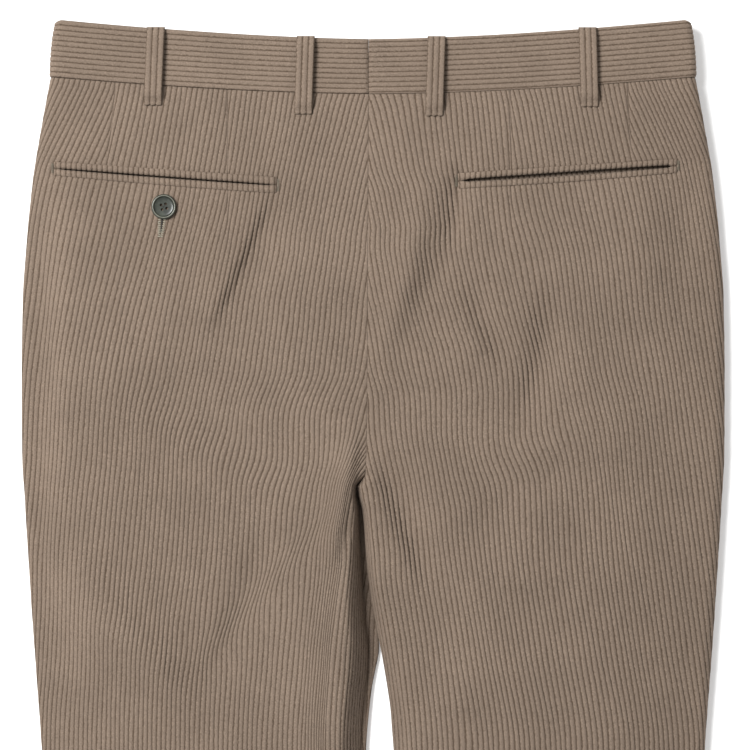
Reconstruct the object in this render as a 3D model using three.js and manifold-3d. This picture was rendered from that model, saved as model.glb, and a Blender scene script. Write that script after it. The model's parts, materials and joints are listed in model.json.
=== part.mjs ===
// Men's corduroy trousers, laid flat with the back up, slightly puffed.
// Millimetres, +Z up. The origin is on the surface under the middle: +X is the wearer's right, +Y the waist.
import * as THREE from 'three';
import Module from 'manifold-3d';
import { mergeVertices } from 'three/addons/utils/BufferGeometryUtils.js';

const wasm = await Module();
wasm.setup();

// Cloth and seams
const cloth = { wall: 1.6, gap: 0.36 };
const halfGap = cloth.gap / 2;
const LEFT = { name: 'left', sign: -1 };
const RIGHT = { name: 'right', sign: 1 };

// Heights along the garment, at the side seam
const waistSeamY = 493;
const hemY = -529.5;
const crotch = { diveStart: 239, diveEnd: 222 };

// The waist edge sinks towards the middle, more at the front than at the back
const waistDip = { back: 11, front: 19, halfWidth: 208, power: 1.7, fadeStart: 430, fadeEnd: 290 };

// Sections across the trousers. side: to the side fold. top: height of the back. shoulder: height just inside
// the side fold, from which the back climbs to the top over reach. under: height of the front.
// seam: height of the side seam. over, below: widths of the rounding at the side.
const sections = [
  { y: 493, side: 209.4, top: 17.7, shoulder: 16.6, reach: 60, under: 7.6, seam: 12.4, over: 5, below: 6 },
  { y: 465, side: 214.8, top: 18.7, shoulder: 15.4, reach: 80, under: 4.4, seam: 11.0, over: 6, below: 8 },
  { y: 426, side: 221.5, top: 19.8, shoulder: 13.8, reach: 90, under: 0, seam: 9.0, over: 7, below: 10 },
  { y: 387, side: 225.6, top: 20.8, shoulder: 13.0, reach: 100, under: 0, seam: 7.8, over: 7, below: 11 },
  { y: 348, side: 228.3, top: 21.6, shoulder: 12.8, reach: 100, under: 0, seam: 7.4, over: 7, below: 12 },
  { y: 300, side: 229.0, top: 22.0, shoulder: 12.8, reach: 100, under: 0, seam: 7.2, over: 7, below: 12 },
  { y: 251, side: 228.8, top: 21.8, shoulder: 12.6, reach: 100, under: 0, seam: 7.0, over: 7, below: 12 },
  { y: 212, side: 226.9, top: 21.6, shoulder: 12.4, reach: 95, under: 0, seam: 6.8, over: 7, below: 12 },
  { y: 134, side: 222.0, top: 21.0, shoulder: 12.0, reach: 90, under: 0, seam: 6.4, over: 7, below: 12 },
  { y: 56, side: 216.3, top: 20.1, shoulder: 11.4, reach: 85, under: 0, seam: 6.0, over: 7, below: 11 },
  { y: -140, side: 205.0, top: 17.2, shoulder: 10.4, reach: 75, under: 0, seam: 5.6, over: 7, below: 10 },
  { y: -330, side: 198.0, top: 15.1, shoulder: 9.8, reach: 70, under: 0, seam: 5.4, over: 7, below: 9 },
  { y: hemY, side: 193.0, top: 13.3, shoulder: 9.4, reach: 65, under: 0, seam: 5.2, over: 7, below: 8 },
];

// How far the centre-back seam sinks
const centreValley = 0.3;

// Inner edges: the centre seam down to the crotch, then each leg's inside seam.
// x: where it runs. seam: its height once it has dived. over, below: widths of the rounding there.
const centreSeam = [
  { y: 493, x: -2.8, seam: 5.5, over: 26, below: 6 },
  { y: 258, x: -4.0, seam: 5.5, over: 20, below: 6 },
  { y: 236, x: -4.9, seam: 5.5, over: 12, below: 6 },
  { y: 228, x: -10.6, seam: 5.5, over: 7, below: 6 },
];
const insideSeams = {
  left: [
    { y: 228, x: -10.6, seam: 5.5, over: 7, below: 6 },
    { y: 222, x: -11.4, seam: 5.4, over: 6, below: 6 },
    { y: 197, x: -8.2, seam: 4.6, over: 9, below: 5 },
    { y: 155, x: -2.6, seam: 3.6, over: 17, below: 4 },
    { y: 131, x: 1.2, seam: 3.4, over: 20, below: 4 },
    { y: 110, x: -0.9, seam: 3.4, over: 20, below: 4 },
    { y: 56, x: -4.4, seam: 3.4, over: 20, below: 4 },
    { y: -140, x: -11.0, seam: 4.6, over: 17, below: 6 },
    { y: hemY, x: -14.0, seam: 5.2, over: 12, below: 8 },
  ],
  right: [
    { y: 228, x: -10.6, seam: 5.5, over: 7, below: 6 },
    { y: 222, x: -9.9, seam: 6.2, over: 5, below: 8 },
    { y: 212, x: -7.2, seam: 7.6, over: 6, below: 10 },
    { y: 175, x: -3.9, seam: 8.6, over: 8, below: 12 },
    { y: 140, x: 1.3, seam: 8.8, over: 10, below: 12 },
    { y: 109, x: 7.2, seam: 8.4, over: 11, below: 12 },
    { y: 77, x: 11.7, seam: 8.0, over: 12, below: 12 },
    { y: 0, x: 15.6, seam: 7.0, over: 13, below: 11 },
    { y: -140, x: 15.4, seam: 6.2, over: 13, below: 10 },
    { y: hemY, x: 14.0, seam: 5.2, over: 12, below: 8 },
  ],
};

// A leg's back falls to its inside seam as a slope of this power, and its last few millimetres round over
const innerFall = { power: 1.35, lipWidth: 3, lipShare: 0.2 };

// The largest folds of the back: soft troughs (height below 0) and ridges, each along a line
const folds = [
  { name: 'left side rise', x0: -214, y0: 420, x1: -212, y1: 130, width: 9, height: -1.6 },
  { name: 'left pocket end', x0: -65, y0: 418, x1: -98, y1: 336, width: 6, height: -2.0 },
  { name: 'left thigh drag', x0: -190, y0: 285, x1: -60, y1: 205, width: 20, height: -0.9 },
  { name: 'left crotch ridge', x0: -12, y0: 257, x1: -26, y1: 186, width: 9, height: 1.7 },
  { name: 'right pocket end', x0: 55, y0: 430, x1: 54, y1: 390, width: 6, height: -1.8 },
  { name: 'right seat drag', x0: 51, y0: 390, x1: 14, y1: 319, width: 7, height: -1.3 },
  { name: 'right seat ridge', x0: 16, y0: 410, x1: -8, y1: 264, width: 11, height: 1.2 },
  { name: 'right crotch trough', x0: 5, y0: 238, x1: 30, y1: 178, width: 8, height: -2.2 },
];

// Rows of points down a panel, and columns across it, as steps in each stretch
const backRows = [
  { from: waistSeamY - cloth.gap, to: crotch.diveStart, steps: 13 },
  { from: crotch.diveStart, to: crotch.diveEnd, steps: 5 },
  { from: crotch.diveEnd, to: 56, steps: 7 },
  { from: 56, to: hemY, steps: 7 },
];
const frontRows = [
  { from: waistSeamY - cloth.gap, to: 426, steps: 3 },
  { from: 426, to: crotch.diveStart, steps: 4 },
  { from: crotch.diveStart, to: crotch.diveEnd, steps: 4 },
  { from: crotch.diveEnd, to: 56, steps: 5 },
  { from: 56, to: hemY, steps: 4 },
];
const backColumns = { side: 5, flat: 8, inner: 5 };
const frontColumns = { side: 4, flat: 5, inner: 3 };

// Waistband: v runs 0 at its seam to 1 at its top edge
const band = {
  height: 36.4, wall: 2.4, fold: 5, back: 18, front: 7, seam: 12.4,
  seamHalfWidth: 210, topHalfWidth: 206.4, rows: 2, backSteps: 9, foldSteps: 6, frontSteps: 9,
  overlap: 25, overlapDrop: 2.7, rampStart: -36, rampEnd: -8, rampFade: 22,
};

// Belt loops. x: middle at the top and at the bottom end. hang: how far the loop reaches below the waist seam
const loop = { width: 11.4, wall: 1.6, above: 0.4, lift: 1.7, sewn: 0.2, rows: 7 };
const loops = [
  { name: 'belt_loop_back_1', face: 'back', topX: -140.5, bottomX: -142.6, hang: 12.6 },
  { name: 'belt_loop_back_2', face: 'back', topX: -43.5, bottomX: -45.2, hang: 13.4 },
  { name: 'belt_loop_back_3', face: 'back', topX: 41.2, bottomX: 39.6, hang: 14.4 },
  { name: 'belt_loop_back_4', face: 'back', topX: 138.8, bottomX: 140.2, hang: 13.4 },
  { name: 'belt_loop_front_1', face: 'front', topX: -98, bottomX: -98, hang: 13 },
  { name: 'belt_loop_front_2', face: 'front', topX: 98, bottomX: 98, hang: 13 },
];

// Double-welt pockets. The slit's upper line runs from the side end to the inner end
const welt = { proud: 0.4, steps: 12 };
const pockets = [
  { side: LEFT, sideX: -207.4, sideY: 438.1, innerX: -61.8, innerY: 427.7, height: 9.4, mouth: 0.6 },
  { side: RIGHT, sideX: 197.5, sideY: 439.9, innerX: 54.6, innerY: 430.4, height: 9.8, mouth: 1.5 },
];

// Buttons and zip
const button = {
  radius: 8.2, dish: 6.1, rimHeight: 3.0, dishHeight: 2.1, edge: 0.7, hole: 0.75, pitch: 1.5, sides: 20,
};
const pocketButton = { x: -135.7, y: 409, turn: 0.25 };
const waistButton = { x: 8, turn: 0.4 };
const zip = { halfWidth: 13, wall: 1.2, gap: 0.5, top: 472, bottom: 280 };

// Small helpers
const clamp01 = (t) => Math.min(1, Math.max(0, t));
const mix = (a, b, t) => a + (b - a) * t;
const smooth = (t) => {
  const c = clamp01(t);
  return c * c * (3 - 2 * c);
};
const quarter = Math.PI / 2;

// A table's slope at one row, zero at its peaks, so that a curve through the rows never overshoots
function slopeAt(table, i, column) {
  const secant = (a, b) => (table[b][column] - table[a][column]) / (table[b].y - table[a].y);
  const last = table.length - 1;
  if (i === 0) return secant(0, 1);
  if (i === last) return secant(last - 1, last);
  const before = secant(i - 1, i);
  const after = secant(i, i + 1);
  if (before * after <= 0) return 0;
  return (2 * before * after) / (before + after);
}

// All columns of a table at height y, by smooth curves between its rows
function readTable(table, y) {
  const last = table.length - 1;
  if (y >= table[0].y) return table[0];
  if (y <= table[last].y) return table[last];
  let i = 0;
  while (table[i + 1].y > y) i += 1;
  const span = table[i + 1].y - table[i].y;
  const t = (y - table[i].y) / span;
  const row = {};
  for (const column of Object.keys(table[0])) {
    const start = table[i][column];
    const end = table[i + 1][column];
    const startSlope = slopeAt(table, i, column) * span;
    const endSlope = slopeAt(table, i + 1, column) * span;
    const rise = t * t * (3 - 2 * t);
    row[column] = mix(start, end, rise) + t * (1 - t) * ((1 - t) * startSlope - t * endSlope);
  }
  return row;
}

// A side's inner edge: the centre seam above the crotch, its inside seam below
function readEdge(side, y) {
  return readTable(y > centreSeam[centreSeam.length - 1].y ? centreSeam : insideSeams[side.name], y);
}

// 0 in the seat, where the two halves meet, and 1 in the legs, where each is a tube of its own
function legShare(y) {
  return smooth((crotch.diveStart - y) / (crotch.diveStart - crotch.diveEnd));
}

// How far the waist edge lies below its height at the side
function dipAt(x, y, depth) {
  const fade = smooth((y - waistDip.fadeEnd) / (waistDip.fadeStart - waistDip.fadeEnd));
  return depth * fade * (1 - Math.pow(Math.min(1, Math.abs(x) / waistDip.halfWidth), waistDip.power));
}

// Rise or fall of the back at a place, from the table of folds
function foldHeight(x, y) {
  let height = 0;
  for (const fold of folds) {
    const along = new THREE.Vector2(fold.x1 - fold.x0, fold.y1 - fold.y0);
    const length = along.length();
    const to = new THREE.Vector2(x - fold.x0, y - fold.y0);
    const t = to.dot(along) / (length * length);
    const across = Math.abs(to.cross(along)) / length;
    const ends = smooth((t + 0.25) / 0.5) * smooth((1.25 - t) / 0.5);
    height += fold.height * ends * Math.exp(-Math.pow(across / fold.width, 2));
  }
  return height;
}

// Height of the back's outer face. y is the height along the garment measured at the side
function backHeight(side, x, y) {
  const section = readTable(sections, y);
  const edge = readEdge(side, y);
  const legs = legShare(y);
  const fromSide = Math.max(0, section.side - side.sign * x);
  const fromInner = Math.max(0, side.sign * (x - edge.x) - halfGap);
  const rounding = clamp01(fromSide / section.over);
  const rise = Math.sqrt(1 - Math.pow(1 - rounding, 2));
  const climb = Math.sin(quarter * clamp01(fromSide / section.reach));
  const body = mix(section.shoulder, section.top, climb) + foldHeight(x, y);
  const foot = section.seam + halfGap;
  const outer = foot + (body - foot) * rise;
  const q = clamp01(fromInner / edge.over);
  const valley = Math.sin(quarter * q);
  const lip = Math.sqrt(1 - Math.pow(1 - clamp01(fromInner / innerFall.lipWidth), 2));
  const drop = mix(1 - Math.pow(1 - q, innerFall.power), lip, innerFall.lipShare);
  const low = mix(outer - centreValley, edge.seam + halfGap, legs);
  return low + (outer - low) * mix(valley, drop, legs);
}

// Height of the front's outer face, which is its underside
function frontHeight(side, x, y) {
  const section = readTable(sections, y);
  const edge = readEdge(side, y);
  const fromSide = Math.max(0, section.side - side.sign * x);
  const fromInner = Math.max(0, side.sign * (x - edge.x) - halfGap);
  const rounding = clamp01(fromSide / section.below);
  const foot = section.seam - halfGap;
  const outer = foot - (foot - section.under) * Math.sqrt(1 - Math.pow(1 - rounding, 2));
  const lap = side === LEFT ? bandRamp(x) * smooth(1 - (waistSeamY - y) / band.rampFade) : 0;
  const q = clamp01(fromInner / edge.below);
  const rise = (edge.seam - halfGap) * (1 - Math.sqrt(1 - Math.pow(1 - q, 2)));
  return outer - band.overlapDrop * lap + rise * legShare(y);
}

// Where column u of a panel lies across the garment: u counts the steps from the side seam
function acrossPanel(side, u, y, columns, over, below) {
  const section = readTable(sections, y);
  const edge = readEdge(side, y);
  const sideX = section.side;
  const innerX = side.sign * edge.x + halfGap;
  const flatStart = sideX - section[over];
  const flatEnd = innerX + edge[below];
  if (u <= columns.side) {
    const rounded = 1 - Math.cos(quarter * (u / columns.side));
    return side.sign * (sideX - section[over] * rounded);
  }
  const pastSide = u - columns.side;
  if (pastSide <= columns.flat) return side.sign * mix(flatStart, flatEnd, pastSide / columns.flat);
  const turn = quarter * ((pastSide - columns.flat) / columns.inner);
  return side.sign * (flatEnd - edge[below] * Math.sin(turn));
}

function backPoint(side, u, y) {
  const x = acrossPanel(side, u, y, backColumns, 'over', 'over');
  return new THREE.Vector3(x, y - dipAt(x, y, waistDip.back), backHeight(side, x, y));
}

function frontPoint(side, u, y) {
  const x = acrossPanel(side, u, y, frontColumns, 'below', 'below');
  return new THREE.Vector3(x, y - dipAt(x, y, waistDip.front), frontHeight(side, x, y));
}

// A row's heights down the garment, from its stretches
function rowHeights(stretches) {
  const heights = [stretches[0].from];
  for (const stretch of stretches) {
    for (let i = 1; i <= stretch.steps; i += 1) {
      heights.push(mix(stretch.from, stretch.to, i / stretch.steps));
    }
  }
  return heights;
}

// A closed wall between two sheets of points, outer[row][column] and inner[row][column]
function closedWall(outer, inner) {
  const rows = outer.length;
  const columns = outer[0].length;
  const positions = [];
  for (const p of [...outer.flat(), ...inner.flat()]) positions.push(p.x, p.y, p.z);
  const id = (layer, row, column) => layer * rows * columns + row * columns + column;
  const index = [];
  const quad = (a, b, c, d) => index.push(a, b, c, a, c, d);
  for (let r = 0; r < rows - 1; r += 1) {
    for (let c = 0; c < columns - 1; c += 1) {
      quad(id(0, r, c), id(0, r, c + 1), id(0, r + 1, c + 1), id(0, r + 1, c));
      quad(id(1, r, c), id(1, r + 1, c), id(1, r + 1, c + 1), id(1, r, c + 1));
    }
  }
  for (let c = 0; c < columns - 1; c += 1) {
    quad(id(1, 0, c), id(1, 0, c + 1), id(0, 0, c + 1), id(0, 0, c));
    quad(id(0, rows - 1, c), id(0, rows - 1, c + 1), id(1, rows - 1, c + 1), id(1, rows - 1, c));
  }
  for (let r = 0; r < rows - 1; r += 1) {
    quad(id(0, r, 0), id(0, r + 1, 0), id(1, r + 1, 0), id(1, r, 0));
    quad(id(1, r, columns - 1), id(1, r + 1, columns - 1), id(0, r + 1, columns - 1), id(0, r, columns - 1));
  }
  return facingOut(positions, index);
}

// Geometry from points and triangles, turned so that its faces point out
function facingOut(positions, index) {
  let volume = 0;
  const point = (i) => new THREE.Vector3().fromArray(positions, 3 * i);
  for (let t = 0; t < index.length; t += 3) {
    volume += point(index[t]).dot(point(index[t + 1]).cross(point(index[t + 2])));
  }
  if (volume < 0) {
    for (let t = 0; t < index.length; t += 3) [index[t + 1], index[t + 2]] = [index[t + 2], index[t + 1]];
  }
  const geometry = new THREE.BufferGeometry();
  geometry.setAttribute('position', new THREE.Float32BufferAttribute(positions, 3));
  geometry.setIndex(index);
  return geometry;
}

// The outward direction of a surface at column u and height y; outward says which way is out along Z
function normalAt(point, u, y, lastColumn, outward) {
  const step = 0.02;
  const acrossStart = point(Math.max(0, u - step), y);
  const acrossEnd = point(Math.min(lastColumn, u + step), y);
  const downStart = point(u, Math.min(waistSeamY - cloth.gap, y + 1));
  const downEnd = point(u, Math.max(hemY, y - 1));
  const normal = acrossEnd.sub(acrossStart).cross(downEnd.sub(downStart)).normalize();
  const reference = outward(u);
  return normal.dot(reference) < 0 ? normal.negate() : normal;
}

// A panel wall from its outer points, moved in by the cloth's thickness
function panelGeometry(side, point, columns, stretches, upward) {
  const last = columns.side + columns.flat + columns.inner;
  const at = (u, y) => point(side, u, y);
  const outward = (u) => {
    const lean = u < columns.side ? 1 - u / columns.side : 0;
    const innerLean = clamp01((u - columns.side - columns.flat) / columns.inner);
    return new THREE.Vector3(side.sign * (lean - innerLean), 0, upward * 0.5);
  };
  const outer = [];
  const inner = [];
  for (const y of rowHeights(stretches)) {
    const outerRow = [];
    const innerRow = [];
    for (let u = 0; u <= last; u += 1) {
      const p = at(u, y);
      const normal = normalAt(at, u, y, last, outward);
      outerRow.push(p);
      innerRow.push(p.clone().addScaledVector(normal, -cloth.wall));
    }
    outer.push(outerRow);
    inner.push(innerRow);
  }
  return closedWall(outer, inner);
}

// Solids for cutting
function toSolid(source) {
  const geometry = source.clone();
  geometry.deleteAttribute('normal');
  geometry.deleteAttribute('uv');
  const merged = mergeVertices(geometry, 1e-4);
  return new wasm.Manifold(new wasm.Mesh({
    numProp: 3,
    vertProperties: new Float32Array(merged.attributes.position.array),
    triVerts: new Uint32Array(merged.index.array),
  }));
}

function toGeometry(solid) {
  const mesh = solid.getMesh();
  const geometry = new THREE.BufferGeometry();
  geometry.setAttribute('position', new THREE.Float32BufferAttribute(mesh.vertProperties, 3));
  geometry.setIndex(Array.from(mesh.triVerts));
  return geometry;
}

// The pocket slit's upper line at a share of its length, moved down by depth
function pocketLine(pocket, share, depth) {
  const x = mix(pocket.sideX, pocket.innerX, share);
  return new THREE.Vector2(x, mix(pocket.sideY, pocket.innerY, share) - depth);
}

// An upright prism that cuts the pocket's slit through the back
function slitGeometry(pocket) {
  const corners = [
    pocketLine(pocket, 0, 0), pocketLine(pocket, 1, 0),
    pocketLine(pocket, 1, pocket.height), pocketLine(pocket, 0, pocket.height),
  ];
  const prism = new THREE.ExtrudeGeometry(new THREE.Shape(corners), { depth: 40, bevelEnabled: false });
  prism.translate(0, 0, 12);
  return prism;
}

// The height measured at the side of a place whose real height is known
function sideHeight(x, realY, depth) {
  let y = realY;
  for (let i = 0; i < 12; i += 1) y = realY + dipAt(x, y, depth);
  return y;
}

// One welt: a strip on the panel's points, between two depths under the slit's upper line
function weltGeometry(pocket, from, to) {
  const outer = [];
  const inner = [];
  const endGap = cloth.gap / Math.abs(pocket.sideX - pocket.innerX);
  for (const depth of [from, to]) {
    const outerRow = [];
    const innerRow = [];
    for (let i = 0; i <= welt.steps; i += 1) {
      const place = pocketLine(pocket, mix(endGap, 1 - endGap, i / welt.steps), depth);
      const z = backHeight(pocket.side, place.x, sideHeight(place.x, place.y, waistDip.back)) + welt.proud;
      outerRow.push(new THREE.Vector3(place.x, place.y, z));
      innerRow.push(new THREE.Vector3(place.x, place.y, z - cloth.wall - welt.proud));
    }
    outer.push(outerRow);
    inner.push(innerRow);
  }
  return closedWall(outer, inner);
}

// The left band's end steps down under the right one
function bandRamp(x) {
  return smooth((x - band.rampStart) / (band.rampEnd - band.rampStart));
}

// A point of the band's outer face. u counts steps from the centre-back seam round the side fold to the front
function bandPoint(side, u, v) {
  const y = waistSeamY + band.height * v;
  const halfWidth = mix(band.seamHalfWidth, band.topHalfWidth, v * v);
  const flatEnd = halfWidth - band.fold;
  const start = side.sign * centreSeam[0].x + halfGap;
  const frontEnd = side === LEFT ? start - band.overlap : start;
  const foldEnd = band.backSteps + band.foldSteps;
  if (u <= band.backSteps) {
    const x = side.sign * mix(start, flatEnd, u / band.backSteps);
    return new THREE.Vector3(x, y - dipAt(x, waistSeamY, waistDip.back), band.back);
  }
  if (u <= foldEnd) {
    const turn = Math.PI * ((u - band.backSteps) / band.foldSteps);
    const reach = turn < quarter ? band.back - band.seam : band.seam - band.front;
    const x = side.sign * (flatEnd + band.fold * Math.sin(turn));
    const depth = mix(waistDip.back, waistDip.front, smooth(turn / Math.PI));
    return new THREE.Vector3(x, y - dipAt(x, waistSeamY, depth), band.seam + reach * Math.cos(turn));
  }
  const x = side.sign * mix(flatEnd, frontEnd, (u - foldEnd) / band.frontSteps);
  const drop = side === LEFT ? band.overlapDrop * bandRamp(x) : 0;
  return new THREE.Vector3(x, y - dipAt(x, waistSeamY, waistDip.front), band.front - drop);
}

function bandGeometry(side) {
  const last = band.backSteps + band.foldSteps + band.frontSteps;
  const outer = [];
  const inner = [];
  for (let r = 0; r <= band.rows; r += 1) {
    const v = r / band.rows;
    const outerRow = [];
    const innerRow = [];
    for (let u = 0; u <= last; u += 1) {
      const p = bandPoint(side, u, v);
      const turn = Math.PI * clamp01((u - band.backSteps) / band.foldSteps);
      const normal = new THREE.Vector3(side.sign * Math.sin(turn), 0, Math.cos(turn));
      outerRow.push(p);
      innerRow.push(p.clone().addScaledVector(normal, -band.wall));
    }
    outer.push(outerRow);
    inner.push(innerRow);
  }
  return closedWall(outer, inner);
}

// Height of what a belt loop lies on, at a real place
function loopSeat(face, x, realY) {
  const depth = face === 'back' ? waistDip.back : waistDip.front;
  const side = x < 0 ? LEFT : RIGHT;
  if (realY > waistSeamY - dipAt(x, waistSeamY, depth)) return face === 'back' ? band.back : band.front;
  const y = sideHeight(x, realY, depth);
  return face === 'back' ? backHeight(side, x, y) : frontHeight(side, x, y);
}

// A belt loop: sewn down at both ends and lifted a little between them
function loopGeometry(item) {
  const out = item.face === 'back' ? 1 : -1;
  const depth = item.face === 'back' ? waistDip.back : waistDip.front;
  const outer = [];
  const inner = [];
  for (let r = 0; r <= loop.rows; r += 1) {
    const share = r / loop.rows;
    const middle = mix(item.topX, item.bottomX, share);
    const seamY = waistSeamY - dipAt(middle, waistSeamY, depth);
    const y = mix(seamY + band.height + loop.above, seamY - item.hang, share);
    const lift = loop.lift * smooth(share / loop.sewn) * smooth((1 - share) / loop.sewn);
    const seats = [-0.5, 0.5].map((half) => loopSeat(item.face, middle + half * loop.width, y));
    const bandFace = item.face === 'back' ? band.back : band.front;
    const seat = share < 0.75 ? bandFace : out * Math.max(...seats.map((z) => out * z));
    const near = seat + out * (cloth.gap + lift);
    const rowOf = (z) => [-0.5, 0.5].map((half) => new THREE.Vector3(middle + half * loop.width, y, z));
    outer.push(rowOf(near + out * loop.wall));
    inner.push(rowOf(near));
  }
  return closedWall(outer, inner);
}

// A four-hole button with a raised rim, its back at the origin and its face along +Z
function buttonGeometry() {
  const profile = [
    [0, 0], [button.radius - button.edge, 0], [button.radius, button.edge],
    [button.radius, button.rimHeight - button.edge], [button.radius - button.edge, button.rimHeight],
    [button.dish, button.dishHeight], [0, button.dishHeight],
  ].map(([r, y]) => new THREE.Vector2(r, y));
  const disc = new THREE.LatheGeometry(profile, button.sides).rotateX(quarter);
  let solid = toSolid(disc);
  for (let i = 0; i < 4; i += 1) {
    const drill = new THREE.CylinderGeometry(button.hole, button.hole, 3 * button.rimHeight, 8);
    drill.rotateX(quarter);
    const angle = quarter * (i + 0.5);
    const reach = button.pitch * Math.SQRT2;
    drill.translate(reach * Math.cos(angle), reach * Math.sin(angle), 0);
    solid = solid.subtract(toSolid(drill));
  }
  return toGeometry(solid);
}

// Strip behind the fly: the zip, on the fronts' inner face
function zipGeometry() {
  const outer = [];
  const inner = [];
  for (const y of rowHeights(frontRows).filter((height) => height < zip.top && height > zip.bottom)) {
    const middle = readEdge(LEFT, y).x;
    const seat = readTable(sections, y).under + cloth.wall + zip.gap;
    const realY = y - dipAt(middle, y, waistDip.front);
    const rowOf = (z) => [-1, 1].map((half) => new THREE.Vector3(middle + half * zip.halfWidth, realY, z));
    outer.push(rowOf(seat + zip.wall));
    inner.push(rowOf(seat));
  }
  return closedWall(outer, inner);
}

// Materials
const corduroy = { color: 0x8c7b6c, roughness: 0.95, metalness: 0 };
const horn = { color: 0x55574f, roughness: 0.35, metalness: 0 };
const tape = { color: 0x5a5148, roughness: 0.8, metalness: 0 };

const trousers = new THREE.Group();

function addPiece(name, geometry, finish) {
  const mesh = new THREE.Mesh(geometry, new THREE.MeshStandardMaterial(finish));
  mesh.name = name;
  trousers.add(mesh);
  return mesh;
}

// Panels, bands and pockets of each side
for (const side of [LEFT, RIGHT]) {
  const pocket = pockets.find((item) => item.side === side);
  const back = toSolid(panelGeometry(side, backPoint, backColumns, backRows, 1));
  addPiece(`back_${side.name}`, toGeometry(back.subtract(toSolid(slitGeometry(pocket)))), corduroy);
  addPiece(`front_${side.name}`, panelGeometry(side, frontPoint, frontColumns, frontRows, -1), corduroy);
  addPiece(`waistband_${side.name}`, bandGeometry(side), corduroy);
  const middle = pocket.height / 2;
  const upper = weltGeometry(pocket, cloth.gap, middle - pocket.mouth / 2);
  const lower = weltGeometry(pocket, middle + pocket.mouth / 2, pocket.height - cloth.gap);
  addPiece(`welt_${side.name}_upper`, upper, corduroy);
  addPiece(`welt_${side.name}_lower`, lower, corduroy);
}

for (const item of loops) addPiece(item.name, loopGeometry(item), corduroy);

// Buttons: one under the left pocket, one on the front of the band, face down
const pocketDisc = addPiece('pocket_button', buttonGeometry(), horn);
const buttonSideY = sideHeight(pocketButton.x, pocketButton.y, waistDip.back);
const buttonSeat = backHeight(LEFT, pocketButton.x, buttonSideY);
const beside = (dx, dy) => backHeight(LEFT, pocketButton.x + dx, buttonSideY + dy);
const reach = button.radius;
const riseX = beside(reach, 0) - beside(-reach, 0);
const riseY = beside(0, reach) - beside(0, -reach);
const buttonNormal = new THREE.Vector3(-riseX, -riseY, 2 * reach).normalize();
pocketDisc.position.set(pocketButton.x, pocketButton.y, buttonSeat + cloth.gap);
pocketDisc.quaternion.setFromUnitVectors(new THREE.Vector3(0, 0, 1), buttonNormal);
pocketDisc.rotateZ(pocketButton.turn);

const waistDisc = addPiece('waist_button', buttonGeometry(), horn);
const bandMiddleY = waistSeamY + band.height / 2 - dipAt(waistButton.x, waistSeamY, waistDip.front);
waistDisc.position.set(waistButton.x, bandMiddleY, band.front - band.overlapDrop - cloth.gap);
waistDisc.rotation.set(Math.PI, 0, waistButton.turn);

addPiece('zip', zipGeometry(), tape);

export default trousers;
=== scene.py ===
"""A pair of men's corduroy trousers, laid flat with the back up and seen from straight above.

Every piece of cloth is a thin closed shell whose cords are real ribs: its columns follow the cords
down the garment and its rows cross them. Sizes are in millimetres until a mesh is made.
"""

from __future__ import annotations

import json
import logging
import math
from dataclasses import dataclass, field
from enum import Enum
from typing import Callable

import bpy
import numpy as np
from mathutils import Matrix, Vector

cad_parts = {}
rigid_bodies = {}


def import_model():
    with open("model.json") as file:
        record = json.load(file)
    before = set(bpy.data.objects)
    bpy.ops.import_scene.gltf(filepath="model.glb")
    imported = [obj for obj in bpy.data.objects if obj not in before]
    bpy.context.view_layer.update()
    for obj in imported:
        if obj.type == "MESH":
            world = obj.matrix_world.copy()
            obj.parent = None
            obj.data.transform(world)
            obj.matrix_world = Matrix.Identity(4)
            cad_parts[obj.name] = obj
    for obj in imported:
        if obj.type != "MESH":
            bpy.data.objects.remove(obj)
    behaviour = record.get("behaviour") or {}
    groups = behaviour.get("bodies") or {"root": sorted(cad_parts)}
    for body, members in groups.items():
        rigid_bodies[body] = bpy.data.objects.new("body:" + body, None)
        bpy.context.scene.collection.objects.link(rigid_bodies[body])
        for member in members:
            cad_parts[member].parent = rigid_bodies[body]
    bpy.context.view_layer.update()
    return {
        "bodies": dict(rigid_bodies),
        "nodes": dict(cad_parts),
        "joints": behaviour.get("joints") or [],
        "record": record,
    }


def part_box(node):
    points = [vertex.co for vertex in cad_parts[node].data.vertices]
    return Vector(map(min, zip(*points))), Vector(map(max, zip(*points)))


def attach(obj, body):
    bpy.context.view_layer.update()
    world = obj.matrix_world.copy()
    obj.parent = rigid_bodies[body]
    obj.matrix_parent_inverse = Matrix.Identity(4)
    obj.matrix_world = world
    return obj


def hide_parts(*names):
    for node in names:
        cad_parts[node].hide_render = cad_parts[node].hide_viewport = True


Array = np.ndarray
LOG = logging.getLogger("trousers")
MM = 0.001
BODY = "root"
UV_NAME = "cords"


class Side(Enum):
    """The halves of the garment, as they lie in the picture."""

    LEFT = -1
    RIGHT = 1

    @property
    def label(self) -> str:
        """The word used in piece names."""
        return self.name.lower()


class Face(Enum):
    """The two faces of the garment: the back lies up and the front lies down."""

    BACK = 1
    FRONT = -1


def smooth(t: Array | float) -> Array:
    """A soft step from 0 to 1 as t goes from 0 to 1."""
    c = np.clip(t, 0.0, 1.0)
    return c * c * (3 - 2 * c)


def mix(a: Array | float, b: Array | float, t: Array | float) -> Array:
    """The value a share t of the way from a to b."""
    return a + (b - a) * t


def rounding(t: Array | float) -> Array:
    """A quarter circle's rise from 0 to 1 as t goes from 0 to 1."""
    return np.sqrt(1 - (1 - np.clip(t, 0.0, 1.0)) ** 2)


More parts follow.
